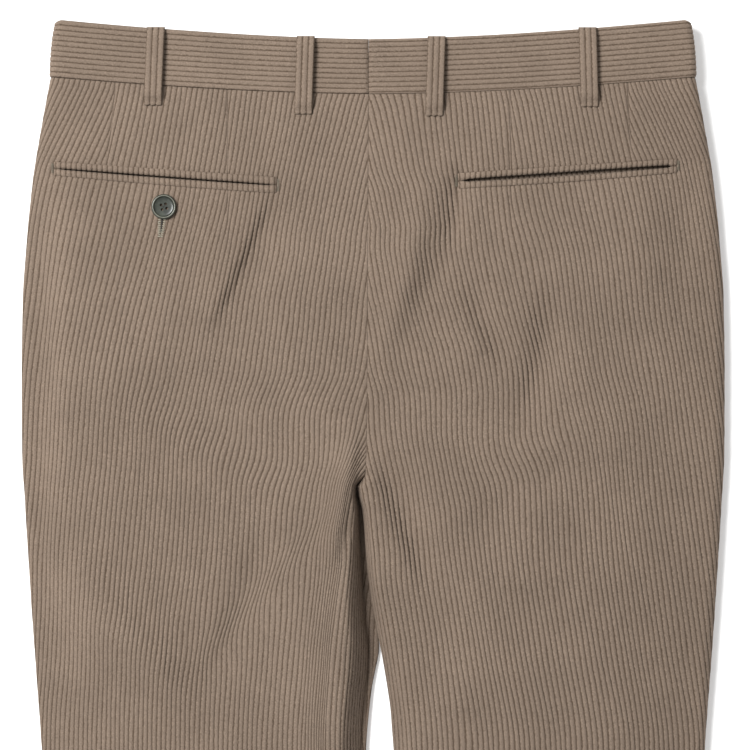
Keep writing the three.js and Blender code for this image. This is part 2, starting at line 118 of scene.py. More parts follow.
def curve_through(at: Array, values: Array, x: Array) -> Array:
    """Reads a smooth curve through known values that never overshoots them.

    Args:
        at: Where the values are known, rising.
        values: One value, or one row of values, for each place.
        x: Where to read, in one dimension.

    Returns:
        The curve at x, with the shape of x and then of one row of values.
    """
    tail = (1,) * (values.ndim - 1)
    secant = np.diff(values, axis=0) / np.diff(at).reshape(-1, *tail)
    before, after = secant[:-1], secant[1:]
    total = before + after
    level = before * after <= 0
    inner = np.where(level, 0.0, 2 * before * after / np.where(level, 1.0, total))
    slope = np.concatenate([secant[:1], inner, secant[-1:]])
    i = np.clip(np.searchsorted(at, x) - 1, 0, len(at) - 2)
    span = (at[i + 1] - at[i]).reshape(-1, *tail)
    t = np.clip((x - at[i]).reshape(-1, *tail) / span, 0, 1)
    bow = t * (1 - t) * ((1 - t) * slope[i] - t * slope[i + 1]) * span
    return mix(values[i], values[i + 1], t * t * (3 - 2 * t)) + bow


@dataclass(frozen=True)
class Table:
    """Rows of named columns, from the waist down; the first column is the height y."""

    columns: tuple[str, ...]
    rows: tuple[tuple[float, ...], ...]

    def read(self, name: str, y: Array) -> Array:
        """The named column at heights y, in the shape of y.

        Args:
            name: The column.
            y: The heights to read at.

        Returns:
            One value for each height.
        """
        data = np.array(self.rows)[::-1]
        heights = np.clip(np.asarray(y, float), data[0, 0], data[-1, 0])
        values = curve_through(data[:, 0], data[:, self.columns.index(name)], heights.ravel())
        return values.reshape(heights.shape)


@dataclass(frozen=True)
class Fold:
    """A soft ridge, or a trough where the height is below 0, along a bowed line.

    left and right are its widths to the left and right of the direction it runs in.
    """

    start: tuple[float, float]
    end: tuple[float, float]
    height: float
    left: float
    right: float
    bow: float = 0.0

    def height_at(self, x: Array, y: Array) -> Array:
        """How far the cloth rises at places x, y.

        Args:
            x: Places across.
            y: Places up.

        Returns:
            The rise, below 0 in a trough.
        """
        run = (self.end[0] - self.start[0], self.end[1] - self.start[1])
        length = math.hypot(*run)
        off_x, off_y = x - self.start[0], y - self.start[1]
        along = (off_x * run[0] + off_y * run[1]) / length**2
        across = (off_y * run[0] - off_x * run[1]) / length - self.bow * 4 * along * (1 - along)
        width = np.where(across > 0, self.left, self.right)
        ends = smooth((along + 0.25) / 0.5) * smooth((1.25 - along) / 0.5)
        return self.height * ends * np.exp(-((across / width) ** 2))


@dataclass(frozen=True)
class Form:
    """The shape of the whole garment as it lies: its outline, heights, seams and folds."""

    waist: float = 493.0
    hem: float = -529.5
    wall: float = 1.5
    # Half the space between the halves, and the heights between which it opens
    gap: float = 0.15
    centre_gap: float = 0.02
    parting: tuple[float, float] = (219.0, 208.0)
    # The heights between which the seat turns into two legs
    dive: tuple[float, float] = (239.0, 222.0)
    # How far the waist line dips from its ends to its middle
    dip_back: float = 11.0
    dip_front: float = 19.0
    dip_half_width: float = 208.0
    dip_power: float = 1.7
    dip_fade: tuple[float, float] = (430.0, 290.0)
    dip_rounds: int = 14
    # The fall of the cloth towards its inner edge
    centre_valley: float = 0.3
    fall_power: float = 1.5
    least_body: float = 2.0
    lip_width: float = 3.0
    lip_share: float = 0.2
    # The share of a row's places that go to each rounded edge
    edge_share: float = 0.25
    sections: Table = Table(
        ("y", "side", "top", "shoulder", "reach", "under", "seam", "over", "below"),
        (
            (493, 209.4, 17.7, 16.6, 60, 7.6, 12.4, 5, 6),
            (465, 214.8, 18.7, 15.4, 80, 4.4, 11.0, 6, 8),
            (426, 221.5, 19.8, 13.8, 90, 0.0, 9.0, 7, 10),
            (387, 225.6, 20.8, 13.0, 100, 0.0, 7.8, 7, 11),
            (348, 228.3, 21.6, 12.8, 100, 0.0, 7.4, 7, 12),
            (300, 229.0, 22.0, 12.8, 100, 0.0, 7.2, 7, 12),
            (251, 228.8, 21.8, 12.6, 100, 0.0, 7.0, 7, 12),
            (212, 226.9, 21.6, 12.4, 95, 0.0, 6.8, 7, 12),
            (134, 222.0, 21.0, 12.0, 90, 0.0, 6.4, 7, 12),
            (56, 216.3, 20.1, 11.4, 85, 0.0, 6.0, 7, 11),
            (-140, 205.0, 17.2, 10.4, 75, 0.0, 5.6, 7, 10),
            (-330, 198.0, 15.1, 9.8, 70, 0.0, 5.4, 7, 9),
            (-529.5, 193.0, 13.3, 9.4, 65, 0.0, 5.2, 7, 8),
        ),
    )
    centre_seam: Table = Table(
        ("y", "x", "seam", "over", "below"),
        ((493, -2.8, 5.5, 26, 6), (258, -4.0, 5.5, 20, 6), (236, -4.9, 5.5, 9, 6), (228, -10.6, 5.5, 3.5, 6)),
    )
    inside_left: Table = Table(
        ("y", "x", "seam", "over", "below"),
        (
            (228, -10.6, 5.5, 3.5, 6),
            (222, -9.9, 5.2, 3, 6),
            (212, -6.4, 4.6, 3.6, 5),
            (199, -5.2, 4.2, 5, 4),
            (175, -3.0, 3.6, 9, 4),
            (140, 2.2, 3.0, 11, 3),
            (122, 4.2, 2.6, 11.5, 3),
            (108, 1.8, 2.8, 12, 3),
            (96, -0.6, 3.4, 12.5, 3.5),
            (56, -4.4, 4.4, 13, 4.5),
            (-140, -11.0, 4.6, 16, 6),
            (-529.5, -14.0, 5.2, 12, 8),
        ),
    )
    # The low flap of the left leg, which goes under the right one's edge
    flap: Table = Table(
        ("y", "width"),
        (
            (228, 0),
            (222, 0.8),
            (212, 2.6),
            (199, 3.4),
            (175, 4.2),
            (140, 7.5),
            (122, 7.5),
            (104, 5),
            (56, 4),
            (-140, 0),
        ),
    )
    inside_right: Table = Table(
        ("y", "x", "seam", "over", "below"),
        (
            (228, -10.6, 5.5, 3.5, 6),
            (222, -9.9, 6.2, 3.5, 8),
            (212, -7.2, 7.6, 4.5, 10),
            (175, -3.9, 8.6, 5.5, 12),
            (140, 1.3, 8.8, 8, 12),
            (109, 7.2, 8.4, 11, 12),
            (77, 11.7, 8.0, 12, 12),
            (0, 15.6, 7.0, 13, 11),
            (-140, 15.4, 6.2, 13, 10),
            (-529.5, 14.0, 5.2, 12, 8),
        ),
    )
    folds: tuple[Fold, ...] = (
        # Along the left side: a low flat strip, and the climb out of it
        Fold((-219, 400), (-219, 120), -5.5, 8.5, 24),
        Fold((-212, 150), (-204, -60), -3.5, 20, 20),
        Fold((-196, 235), (-172, 90), 3.4, 34, 12),
        # Left seat: the crease that runs down from the pocket's inner end, and the swells beside it
        Fold((-66, 416), (-98, 338), -4.2, 20, 4.6),
        Fold((-197, 400), (-197, 230), 3.2, 36, 11),
        Fold((-52, 470), (-60, 400), 1.4, 12, 14),
        Fold((-130, 300), (-60, 236), -1.6, 26, 26),
        # Left thigh: drags that fan out from the crotch
        Fold((-13, 254), (-26, 186), 6.4, 5.5, 10),
        Fold((-188, 168), (-120, 84), 4.2, 13, 30),
        Fold((-72, 190), (-104, 105), -2.4, 14, 9, 3),
        Fold((-17, 184), (-27, 40), 8, 14, 34),
        # Right seat: creases by the pocket's inner end, and the lit ridge beside the centre seam
        Fold((56, 440), (52, 398), -4.4, 5, 9),
        Fold((52, 402), (30, 350), -1.8, 6, 11, 2),
        Fold((32, 424), (6, 318), 3.2, 9, 10, 3),
        Fold((62, 355), (84, 309), -3.2, 9, 7),
        Fold((112, 350), (100, 280), -2.8, 11, 9, 3),
        Fold((204, 420), (198, 350), -1.6, 8, 14),
        # Right thigh: the trough beside the crotch roll, and the drags below the seat
        Fold((8, 236), (34, 172), -6.4, 14, 8),
        Fold((34, 172), (50, 110), -2, 18, 12),
        Fold((150, 250), (60, 195), -1.4, 18, 12, -6),
    )
    creases: tuple[Fold, ...] = (
        # Where the grooves between the cords are pressed deeper, as shares of their depth
        Fold((-64, 424), (-98, 336), 1.1, 9, 7),
        Fold((10, 230), (34, 168), 1.5, 7, 7),
        Fold((56, 438), (50, 380), 1.6, 6, 7),
        Fold((50, 390), (26, 340), 0.7, 7, 8),
        Fold((60, 358), (84, 306), 1.5, 8, 7),
        Fold((112, 352), (98, 276), 1.4, 10, 8),
        Fold((-30, 190), (-34, 60), 0.5, 10, 12),
        Fold((-178, 345), (-140, 272), 0.5, 18, 18),
        Fold((-140, 272), (-56, 226), 0.6, 12, 14),
        Fold((-186, 180), (-120, 100), 0.6, 14, 10),
        # Broad changes: flatter cords on the left seat, deeper ones on the right leg
        Fold((-112, 400), (-112, 250), -0.22, 70, 70),
        Fold((110, 230), (110, 60), 0.7, 70, 70),
    )

    def edge(self, side: Side, name: str, y: Array) -> Array:
        """A column of the inner edge: the centre seam above the crotch, the inside seam below.

        Args:
            side: The left or the right half.
            name: x, seam, over or below.
            y: Side heights.

        Returns:
            One value for each height.
        """
        last = self.centre_seam.rows[-1][0]
        table = self.inside_left if side is Side.LEFT else self.inside_right
        return np.where(y > last, self.centre_seam.read(name, y), table.read(name, y))

    def legs(self, y: Array) -> Array:
        """0 in the seat, where the halves meet, and 1 where each leg is a tube."""
        return smooth((self.dive[0] - y) / (self.dive[0] - self.dive[1]))

    def inner_gap(self, y: Array) -> Array:
        """Half the space between the halves: nearly none along the centre seam."""
        high, low = self.parting
        return mix(self.centre_gap, self.gap, smooth((high - y) / (high - low)))

    def dip(self, x: Array, y: Array, face: Face) -> Array:
        """How far a row at side height y lies below it, at x.

        Args:
            x: Places across.
            y: Side heights.
            face: The back or the front.

        Returns:
            The drop at each place.
        """
        depth = self.dip_back if face is Face.BACK else self.dip_front
        fade = smooth((y - self.dip_fade[1]) / (self.dip_fade[0] - self.dip_fade[1]))
        out = np.minimum(1.0, np.abs(x) / self.dip_half_width)
        return depth * fade * (1 - out**self.dip_power)

    def side_height(self, x: Array, real_y: Array, face: Face) -> Array:
        """The side height of a place whose real height is known.

        Args:
            x: Places across.
            real_y: Real heights.
            face: The back or the front.

        Returns:
            The height that the same row has at the side.
        """
        y = np.asarray(real_y, float)
        for _ in range(self.dip_rounds):
            y = real_y + self.dip(x, y, face)
        return y

    def folds_at(self, x: Array, y: Array) -> Array:
        """The sum of all folds at places x, y."""
        return sum(fold.height_at(x, y) for fold in self.folds)

    def creasing(self, x: Array, y: Array) -> Array:
        """How much deeper the grooves are where the cloth is creased, as a share."""
        return sum(crease.height_at(x, y) for crease in self.creases)

    def back_height(self, side: Side, x: Array, y: Array) -> Array:
        """The shape of the back's face.

        Args:
            side: The left or the right half.
            x: Places across.
            y: Side heights.

        Returns:
            Heights above the floor.
        """
        read = self.sections.read
        from_side = np.maximum(0, read("side", y) - side.value * x)
        flap = self.flap.read("width", y) if side is Side.LEFT else 0.0
        from_inner = np.maximum(0, side.value * (x - self.edge(side, "x", y)) - self.inner_gap(y) - flap)
        rise = rounding(from_side / read("over", y))
        climb = np.sin(math.pi / 2 * np.clip(from_side / read("reach", y), 0, 1))
        body = mix(read("shoulder", y), read("top", y), climb) + self.folds_at(x, y)
        foot = read("seam", y) + self.gap
        body = foot + self.least_body + np.logaddexp(0.0, body - foot - self.least_body)
        outer = foot + (body - foot) * rise
        q = np.clip(from_inner / self.edge(side, "over", y), 0, 1)
        legs = self.legs(y)
        low = mix(outer - self.centre_valley, self.edge(side, "seam", y) + self.gap, legs)
        drop = mix(1 - (1 - q) ** self.fall_power, rounding(from_inner / self.lip_width), self.lip_share)
        return low + (outer - low) * mix(np.sin(math.pi / 2 * q), drop, legs)

    def front_height(self, side: Side, x: Array, y: Array) -> Array:
        """The shape of the front's face, which lies underneath.

        Args:
            side: The left or the right half.
            x: Places across.
            y: Side heights.

        Returns:
            Heights above the floor.
        """
        read = self.sections.read
        from_side = np.maximum(0, read("side", y) - side.value * x)
        from_inner = np.maximum(0, side.value * (x - self.edge(side, "x", y)) - self.inner_gap(y))
        foot = read("seam", y) - self.gap
        outer = foot - (foot - read("under", y)) * rounding(from_side / read("below", y))
        curl = 1 - rounding(from_inner / self.edge(side, "below", y))
        rise = (self.edge(side, "seam", y) - self.gap) * curl
        if side is Side.LEFT:
            outer = outer - BAND.overlap_drop * BAND.ramp(x) * smooth(1 - (self.waist - y) / BAND.ramp_fade)
        return outer + rise * self.legs(y)

    def height(self, face: Face, side: Side, x: Array, y: Array) -> Array:
        """Height of either face at x and side height y."""
        reader = self.back_height if face is Face.BACK else self.front_height
        return reader(side, x, y)

    def across(self, face: Face, side: Side, y: Array, count: int = 360) -> Array:
        """Places across a panel, closer together where its edges round away.

        Args:
            face: The back or the front.
            side: Left or right panel.
            y: Side heights, one for each row.
            count: Places in a row.

        Returns:
            x for each row and place, rising along a row.
        """
        column = "over" if face is Face.BACK else "below"
        t = np.linspace(0, 1, count)[None, :]
        y = y[:, None]
        out = self.sections.read("side", y)
        inner = side.value * self.edge(side, "x", y) + self.inner_gap(y)
        round_out, round_in = self.sections.read(column, y), self.edge(side, column, y)
        if face is Face.BACK and side is Side.LEFT:
            round_in = round_in + self.flap.read("width", y)
        cut = self.edge_share
        outer_arc = out - round_out * (1 - np.cos(math.pi / 2 * np.clip(t / cut, 0, 1)))
        flat = mix(out - round_out, inner + round_in, np.clip((t - cut) / (1 - 2 * cut), 0, 1))
        inner_arc = inner + round_in * (1 - np.sin(math.pi / 2 * np.clip((t - 1 + cut) / cut, 0, 1)))
        x = side.value * np.where(t < cut, outer_arc, np.where(t < 1 - cut, flat, inner_arc))
        return x if side is Side.LEFT else x[:, ::-1]


@dataclass(frozen=True)
class BandSizes:
    """The waistband's sizes, for both halves."""

    height: float = 35.5
    end_rise: float = 2.0
    wall: float = 2.3
    fold: float = 5.0
    back: float = 17.8
    front: float = 7.0
    seam: float = 12.4
    seam_half_width: float = 210.0
    top_half_width: float = 206.4
    overlap: float = 25.0
    overlap_drop: float = 2.7
    ramp_from: float = -36.0
    ramp_to: float = -8.0
    ramp_fade: float = 22.0

    def ramp(self, x: Array) -> Array:
        """How far the left band has stepped under the right one, from 0 to 1."""
        return smooth((x - self.ramp_from) / (self.ramp_to - self.ramp_from))


BAND = BandSizes()
FORM = Form()


@dataclass(frozen=True)
class Cord:
    """The relief of one cord: a broad soft crest between narrow grooves."""

    pitch: float = 3.38
    places: tuple[float, ...] = (0.0, 0.15, 0.5, 0.85)
    heights: tuple[float, ...] = (-0.38, 0.15, 0.27, 0.15)

    def across(self, first: int, last: int) -> tuple[Array, Array]:
        """Lays out the relief of a run of cords.

        Args:
            first: The first cord.
            last: The cord to stop before.

        Returns:
            Places, counted in cords, and the height at each.
        """
        cords = np.arange(first, last)[:, None]
        places = np.append((cords + np.array(self.places)).ravel(), last)
        heights = np.append(np.tile(self.heights, len(cords)), self.heights[0])
        return places, heights


CORD = Cord()


@dataclass(frozen=True)
class Drift:
    """How far guide cords stand from their place at seat height, further up and down a panel."""

    guides: tuple[float, ...]
    rows: tuple[tuple[float, ...], ...]

    def places(self, cloth: Array, y: Array) -> Array:
        """Where cords lie across the surface.

        Args:
            cloth: The cords' places at seat height.
            y: Side heights of the rows.

        Returns:
            The place of each cord in each row.
        """
        data = np.array(self.rows)[::-1]
        heights = np.clip(y, data[0, 0], data[-1, 0])
        by_guide = curve_through(data[:, 0], data[:, 1:], heights)
        if len(self.guides) == 1:
            return cloth[None, :] + by_guide
        guides = np.array(self.guides)
        return cloth[None, :] + curve_through(guides, by_guide.T, np.clip(cloth, guides[0], guides[-1])).T


@dataclass(frozen=True)
class Dart:
    """A sewn wedge of cloth. side says which side's cords run into it."""

    top: tuple[float, float]
    tip: tuple[float, float]
    take: float
    side: Side
    half_line: float = 0.5
    ditch: float = 0.55
    ditch_width: float = 1.1
    ditch_fade: float = 0.25

    def share(self, y: Array) -> Array:
        """1 at the waist seam and 0 from the tip down."""
        return np.clip((y - self.tip[1]) / (self.top[1] - self.tip[1]), 0, 1)

    def line(self, y: Array) -> Array:
        """Where the dart's seam lies at side heights y."""
        return mix(self.tip[0], self.top[0], self.share(y))

    def close(self, places: Array, y: Array) -> Array:
        """Moves cords in, and squeezes those that the dart swallows into its seam.

        Args:
            places: The cords' places in each row.
            y: Side heights of the rows.

        Returns:
            The places with the dart sewn shut.
        """
        line, take = self.line(y)[:, None], self.take * self.share(y)[:, None]
        out = self.side.value * (places - line)
        inside = np.clip((out + self.half_line) / (take + 2 * self.half_line), 0, 1)
        closed = np.where(out > take + self.half_line, out - take, np.minimum(out, -self.half_line))
        squeezed = mix(-self.half_line, self.half_line, inside)
        out = np.where((inside > 0) & (inside < 1), squeezed, closed)
        return line + self.side.value * out

    def ditch_at(self, x: Array, y: Array) -> Array:
        """How deep the dart's seam is pressed in.

        Args:
            x: Places across.
            y: Side heights of the rows.

        Returns:
            The depth at each place.
        """
        line = self.line(y[:, None])
        fade = smooth(self.share(y)[:, None] / self.ditch_fade)
        return self.ditch * fade * np.exp(-(((x - line) / self.ditch_width) ** 2))


def picked(count: int, step: int) -> Array:
    """Every step-th number below count, and the last one."""
    return np.unique(np.append(np.arange(0, count, step), count - 1))


def shared(places: Array, low: Array, high: Array) -> Array:
    """For each point, the column whose point it shares: all that lie past an edge become one.

    Args:
        places: Where the points lie along their rows.
        low: Each row's left end.
        high: Each row's right end.

    Returns:
        One column for each point.
    """
    columns = np.arange(places.shape[1])[None, :]
    first = (places <= low).sum(axis=1, keepdims=True) - 1
    last = places.shape[1] - (places >= high).sum(axis=1, keepdims=True)
    return np.clip(columns, np.maximum(first, 0), np.minimum(last, columns.max()))


@dataclass(frozen=True)
class Sheet:
    """One face of a wall: rows of points that run down and columns that run to the right.

    uv is the cord count and length at each point, and same the column whose point it shares.
    """

    points: Array
    uv: Array
    same: Array | None = None


class Shell:
    """Gathers the points and faces of a closed wall of cloth."""

    def __init__(self, name: str) -> None:
        """Starts an empty shell with the piece's name.

        Args:
            name: The name of the piece to make.
        """
        self.name = name
        self.points: list[Array] = []
        self.uvs: list[Array] = []
        self.quads: list[Array] = []
        self.tris: list[Array] = []
        self.count = 0

    def add_sheet(self, sheet: Sheet, up: bool) -> Array:
        """Adds a sheet of points with its faces.

        Args:
            sheet: The points.
            up: Whether the faces look up, towards +Z.

        Returns:
            The number of the point used at each row and column.
        """
        rows, columns = sheet.points.shape[:2]
        own = np.arange(rows * columns).reshape(rows, columns)
        ids = own if sheet.same is None else np.take_along_axis(own, sheet.same, axis=1)
        used, packed = np.unique(ids, return_inverse=True)
        self.points.append(sheet.points.reshape(-1, 3)[used])
        self.uvs.append(sheet.uv.reshape(-1, 2)[used])
        ids = packed.reshape(rows, columns) + self.count
        self.count += len(used)
        corners = [ids[:-1, :-1], ids[1:, :-1], ids[1:, 1:], ids[:-1, 1:]]
        quads = np.stack([corner.ravel() for corner in corners], axis=1)
        flat_top, flat_bottom = quads[:, 0] == quads[:, 3], quads[:, 1] == quads[:, 2]
        turn = slice(None) if up else slice(None, None, -1)
        self.quads.append(quads[~flat_top & ~flat_bottom][:, turn])
        self.tris.append(quads[flat_top & ~flat_bottom][:, :3][:, turn])
        self.tris.append(quads[flat_bottom & ~flat_top][:, [0, 1, 3]][:, turn])
        return ids

    def zip_rows(self, fine: Array, coarse: Array, turned: bool) -> None:
        """Joins two rows of points with triangles, stepping along both evenly.

        Args:
            fine: Point numbers along one row.
            coarse: Those along the other.
            turned: Whether the faces look the other way.
        """
        places = np.concatenate(self.points)
        fine, coarse = (row[np.append(True, np.diff(row) != 0)] for row in (fine, coarse))

        def shares(ids: Array) -> Array:
            """How far along its row each point lies, from 0 to 1.

            Args:
                ids: The row's point numbers.

            Returns:
                One share for each point.
            """
            steps = np.linalg.norm(np.diff(places[ids], axis=0), axis=1)
            run = np.append(0, np.cumsum(steps))
            return run / run[-1]

        at_fine, at_coarse = shares(fine), shares(coarse)
        faces, i, j = [], 0, 0
        while i < len(fine) - 1 or j < len(coarse) - 1:
            more = i < len(fine) - 1
            if more and (j == len(coarse) - 1 or at_fine[i + 1] <= at_coarse[j + 1]):
                faces.append((fine[i], fine[i + 1], coarse[j]))
                i += 1
            else:
                faces.append((fine[i], coarse[j + 1], coarse[j]))
                j += 1
        faces = np.array(faces)
        self.tris.append(faces[:, ::-1] if turned else faces)

    def wrap(self, outer: Sheet, inner: Sheet, up: bool) -> bpy.types.Object:
        """Joins an outer and an inner sheet along their four edges, and makes the object.

        Args:
            outer: The face that shows.
            inner: The face behind it.
            up: Whether the outer face looks up, towards +Z.

        Returns:
            The finished object.
        """
        above, below = self.add_sheet(outer, up), self.add_sheet(inner, not up)
        self.zip_rows(above[0], below[0], not up)
        self.zip_rows(above[-1], below[-1], up)
        self.zip_rows(above[:, 0], below[:, 0], up)
        self.zip_rows(above[:, -1], below[:, -1], not up)
        return self.build()

    def build(self) -> bpy.types.Object:
        """Makes the object, in metres, with its cord map.

        Returns:
            The finished object.
        """
        quads, tris = np.concatenate(self.quads), np.concatenate(self.tris)
        points, uvs = np.concatenate(self.points) * MM, np.concatenate(self.uvs)
        corners = np.concatenate([quads.ravel(), tris.ravel()]).astype(np.int32)
        sizes = np.repeat([4, 3], [len(quads), len(tris)])
        mesh = bpy.data.meshes.new(self.name)
        mesh.vertices.add(len(points))
        mesh.loops.add(len(corners))
        mesh.polygons.add(len(sizes))
        mesh.vertices.foreach_set("co", points.astype(np.float32).ravel())
        mesh.loops.foreach_set("vertex_index", corners)
        mesh.polygons.foreach_set("loop_start", np.append(0, np.cumsum(sizes)[:-1]).astype(np.int32))
        mesh.polygons.foreach_set("use_smooth", np.ones(len(sizes), bool))
        mesh.update(calc_edges=True)
        mesh.validate()
        layer = mesh.uv_layers.new(name=UV_NAME)
        layer.data.foreach_set("uv", uvs[corners].astype(np.float32).ravel())
        return add_object(self.name, mesh)


def add_object(name: str, mesh: bpy.types.Mesh) -> bpy.types.Object:
    """Links a mesh into the scene as an object at the origin.

    Args:
        name: The object's name.
        mesh: Its mesh.

    Returns:
        The object.
    """
    piece = bpy.data.objects.new(name, mesh)
    bpy.context.scene.collection.objects.link(piece)
    return piece


def apply_modifier(piece: bpy.types.Object, modifier: bpy.types.Modifier) -> None:
    """Turns a piece and its modifier into a plain mesh.

    Args:
        piece: The object.
        modifier: Its only modifier.
    """
    depsgraph = bpy.context.evaluated_depsgraph_get()
    made = bpy.data.meshes.new_from_object(piece.evaluated_get(depsgraph))
    piece.modifiers.remove(modifier)
    piece.data = made


def linear(*values: float) -> tuple[float, float, float, float]:
    """Turns screen values from 0 to 255 into a linear colour."""
    shares = [value / 255 for value in values]
    return (*[s / 12.92 if s <= 0.04045 else ((s + 0.055) / 1.055) ** 2.4 for s in shares], 1.0)


class Nodes:
    """A small helper that adds and joins the nodes of one tree."""

    def __init__(self, tree: bpy.types.NodeTree) -> None:
        """Works on the given tree."""
        self.tree = tree

    def add(self, kind: str, inputs: dict | None = None, **settings: object) -> bpy.types.Node:
        """Adds a node.

        Args:
            kind: The node's type name.
            inputs: Values or output sockets by input name or number.
            settings: Values of the node's own properties.

        Returns:
            The new node.
        """
        node = self.tree.nodes.new(kind)
        for name, value in settings.items():
            setattr(node, name, value)
        for key, value in (inputs or {}).items():
            if isinstance(value, bpy.types.NodeSocket):
                self.tree.links.new(value, node.inputs[key])
            else:
                node.inputs[key].default_value = value
        return node

    def math(self, operation: str, *values: object) -> bpy.types.NodeSocket:
        """Adds a math node and returns its result."""
        return self.add("ShaderNodeMath", dict(enumerate(values)), operation=operation).outputs[0]

    def blend(self, share: object, a: object, b: object, mode: str = "MIX") -> bpy.types.NodeSocket:
        """Mixes two colours and returns the result."""
        node = self.add("ShaderNodeMix", {0: share, 6: a, 7: b}, data_type="RGBA", blend_type=mode)
        return node.outputs[2]

    def noise(
        self, vector: object, scale: float, detail: float, roughness: float = 0.5
    ) -> bpy.types.NodeSocket:
        """Adds a noise pattern and returns its value."""
        inputs = {"Vector": vector, "Scale": scale, "Detail": detail, "Roughness": roughness}
        return self.add("ShaderNodeTexNoise", inputs).outputs[0]

    def ranged(
        self, value: object, low: float, high: float, to_low: float, to_high: float
    ) -> bpy.types.NodeSocket:
        """Stretches a value from one range to another, softly and within it."""
        inputs = {0: value, 1: low, 2: high, 3: to_low, 4: to_high}
        return self.add("ShaderNodeMapRange", inputs, interpolation_type="SMOOTHSTEP").outputs[0]


def new_material(
    name: str, values: dict[str, object]
) -> tuple[bpy.types.Material, Nodes, bpy.types.Node]:
    """Makes a node material, with the values that are the same all over it.

    Args:
        name: The material's name.
        values: The shader's own values by socket name.

    Returns:
        The material, its node helper and its shader.
    """
    material = bpy.data.materials.new(name)
    material.use_nodes = True
    shader = material.node_tree.nodes["Principled BSDF"]
    for socket, value in values.items():
        shader.inputs[socket].default_value = value
    return material, Nodes(material.node_tree), shader


@dataclass(frozen=True)
class CorduroyFinish:
    """Soft cotton pile in broad cords, with painted shade darkening the grooves between them."""

    name: str = "corduroy"
    crest: tuple[float, float, float] = (124, 109, 96)
    groove_shade: tuple[float, float, float] = (80, 66, 54)
    # Where the painted groove shade starts, as a share of half a cord, and how much of it shows
    groove_shade_from: float = 0.56
    groove_shade_share: float = 0.95
    groove_shade_rag: float = 0.5
    # Repeats to a metre of the broad clouds, the pile's tufts and the flecks, and their range
    patch: float = 26.0
    patch_range: tuple[float, float] = (0.94, 1.06)
    pile: float = 620.0
    pile_range: tuple[float, float] = (0.91, 1.09)
    fleck: float = 2100.0
    fleck_range: tuple[float, float] = (0.70, 1.30)
    bump: float = 0.5
    bump_height: float = 0.0003
    roughness: float = 0.95
    specular: float = 0.15
    sheen: float = 0.18
    sheen_roughness: float = 0.45
    sheen_tint: tuple[float, float, float] = (226, 208, 190)

    def material(self) -> bpy.types.Material:
        """Builds the material from its pile, painted groove shade and cloud patterns.

        Returns:
            The material.
        """
        values = {
            "Roughness": self.roughness,
            "Specular IOR Level": self.specular,
            "Sheen Weight": self.sheen,
            "Sheen Roughness": self.sheen_roughness,
            "Sheen Tint": linear(*self.sheen_tint),
        }
        material, nodes, shader = new_material(self.name, values)
        place = nodes.add("ShaderNodeTexCoord").outputs["Object"]
        cords = nodes.add("ShaderNodeUVMap", uv_map=UV_NAME).outputs[0]
        count = nodes.add("ShaderNodeSeparateXYZ", {0: cords}).outputs[0]
        pile = nodes.noise(place, self.pile, 4.0, 0.6)
        fleck = nodes.noise(place, self.fleck, 2.0, 0.6)
        cloud = nodes.noise(place, self.patch, 3.0)
        ragged = nodes.math("MULTIPLY_ADD", nodes.math("SUBTRACT", pile, 0.5), self.groove_shade_rag, count)
        phase = nodes.math("FRACT", ragged)
        groove_shade = nodes.math("MULTIPLY", nodes.math("ABSOLUTE", nodes.math("SUBTRACT", phase, 0.5)), 2.0)
        # Painted shade: the grooves between the cords are coloured darker than the crests
        dark = nodes.ranged(groove_shade, self.groove_shade_from, 1.0, 0.0, self.groove_shade_share)
        base = nodes.blend(dark, linear(*self.crest), linear(*self.groove_shade))
        speck = nodes.ranged(fleck, 0.25, 0.75, *self.fleck_range)
        tuft = nodes.ranged(pile, 0.25, 0.75, *self.pile_range)
        drift = nodes.ranged(cloud, 0.3, 0.7, *self.patch_range)
        level = nodes.math("MULTIPLY", nodes.math("MULTIPLY", speck, tuft), drift)
        shade = nodes.add("ShaderNodeCombineColor", {0: level, 1: level, 2: level}).outputs[0]
        colour = nodes.blend(1.0, base, shade, "MULTIPLY")
        height = nodes.math("MULTIPLY_ADD", pile, 0.5, fleck)
        rough = {"Strength": self.bump, "Distance": self.bump_height, "Height": height}
        bump = nodes.add("ShaderNodeBump", rough)
        nodes.tree.links.new(colour, shader.inputs["Base Color"])
        nodes.tree.links.new(bump.outputs[0], shader.inputs["Normal"])
        return material


@dataclass(frozen=True)
class HornFinish:
    """Polished dark grey-green button, with a painted highlight ring on its rim."""

    name: str = "button"
    dark: tuple[float, float, float] = (38, 41, 37)
    light: tuple[float, float, float] = (76, 80, 71)
    rim: tuple[float, float, float] = (126, 125, 112)
    # Where the painted highlight ring on the rim lies, as a share of the radius, and where it fades
    rim_share: float = 0.87
    rim_fade: tuple[float, float] = (0.018, 0.065)
    cloud: float = 160.0
    vein: float = 700.0
    roughness: float = 0.26
    specular: float = 0.35

    def material(self) -> bpy.types.Material:
        """Builds the clouded, glossy material.

        Returns:
            The material.
        """
        values = {"Roughness": self.roughness, "Specular IOR Level": self.specular}
        material, nodes, shader = new_material(self.name, values)
        place = nodes.add("ShaderNodeTexCoord").outputs["Object"]
        turned = nodes.add("ShaderNodeUVMap", uv_map=UV_NAME).outputs[0]
        out = nodes.add("ShaderNodeSeparateXYZ", {0: turned}).outputs[0]
        cloud = nodes.noise(place, self.cloud, 4.0, 0.6)
        vein = nodes.noise(place, self.vein, 2.0)
        share = nodes.math("MULTIPLY_ADD", vein, 0.25, nodes.ranged(cloud, 0.35, 0.7, 0.0, 0.6))
        dish = nodes.blend(share, linear(*self.dark), linear(*self.light))
        # Painted highlight: a light ring of colour on the rim, where the gloss catches the light
        off_rim = nodes.math("ABSOLUTE", nodes.math("SUBTRACT", out, self.rim_share))
        edge = nodes.ranged(nodes.math("MULTIPLY_ADD", vein, 0.04, off_rim), *self.rim_fade, 1.0, 0.0)
        colour = nodes.blend(edge, dish, linear(*self.rim))
        nodes.tree.links.new(colour, shader.inputs["Base Color"])
        return material


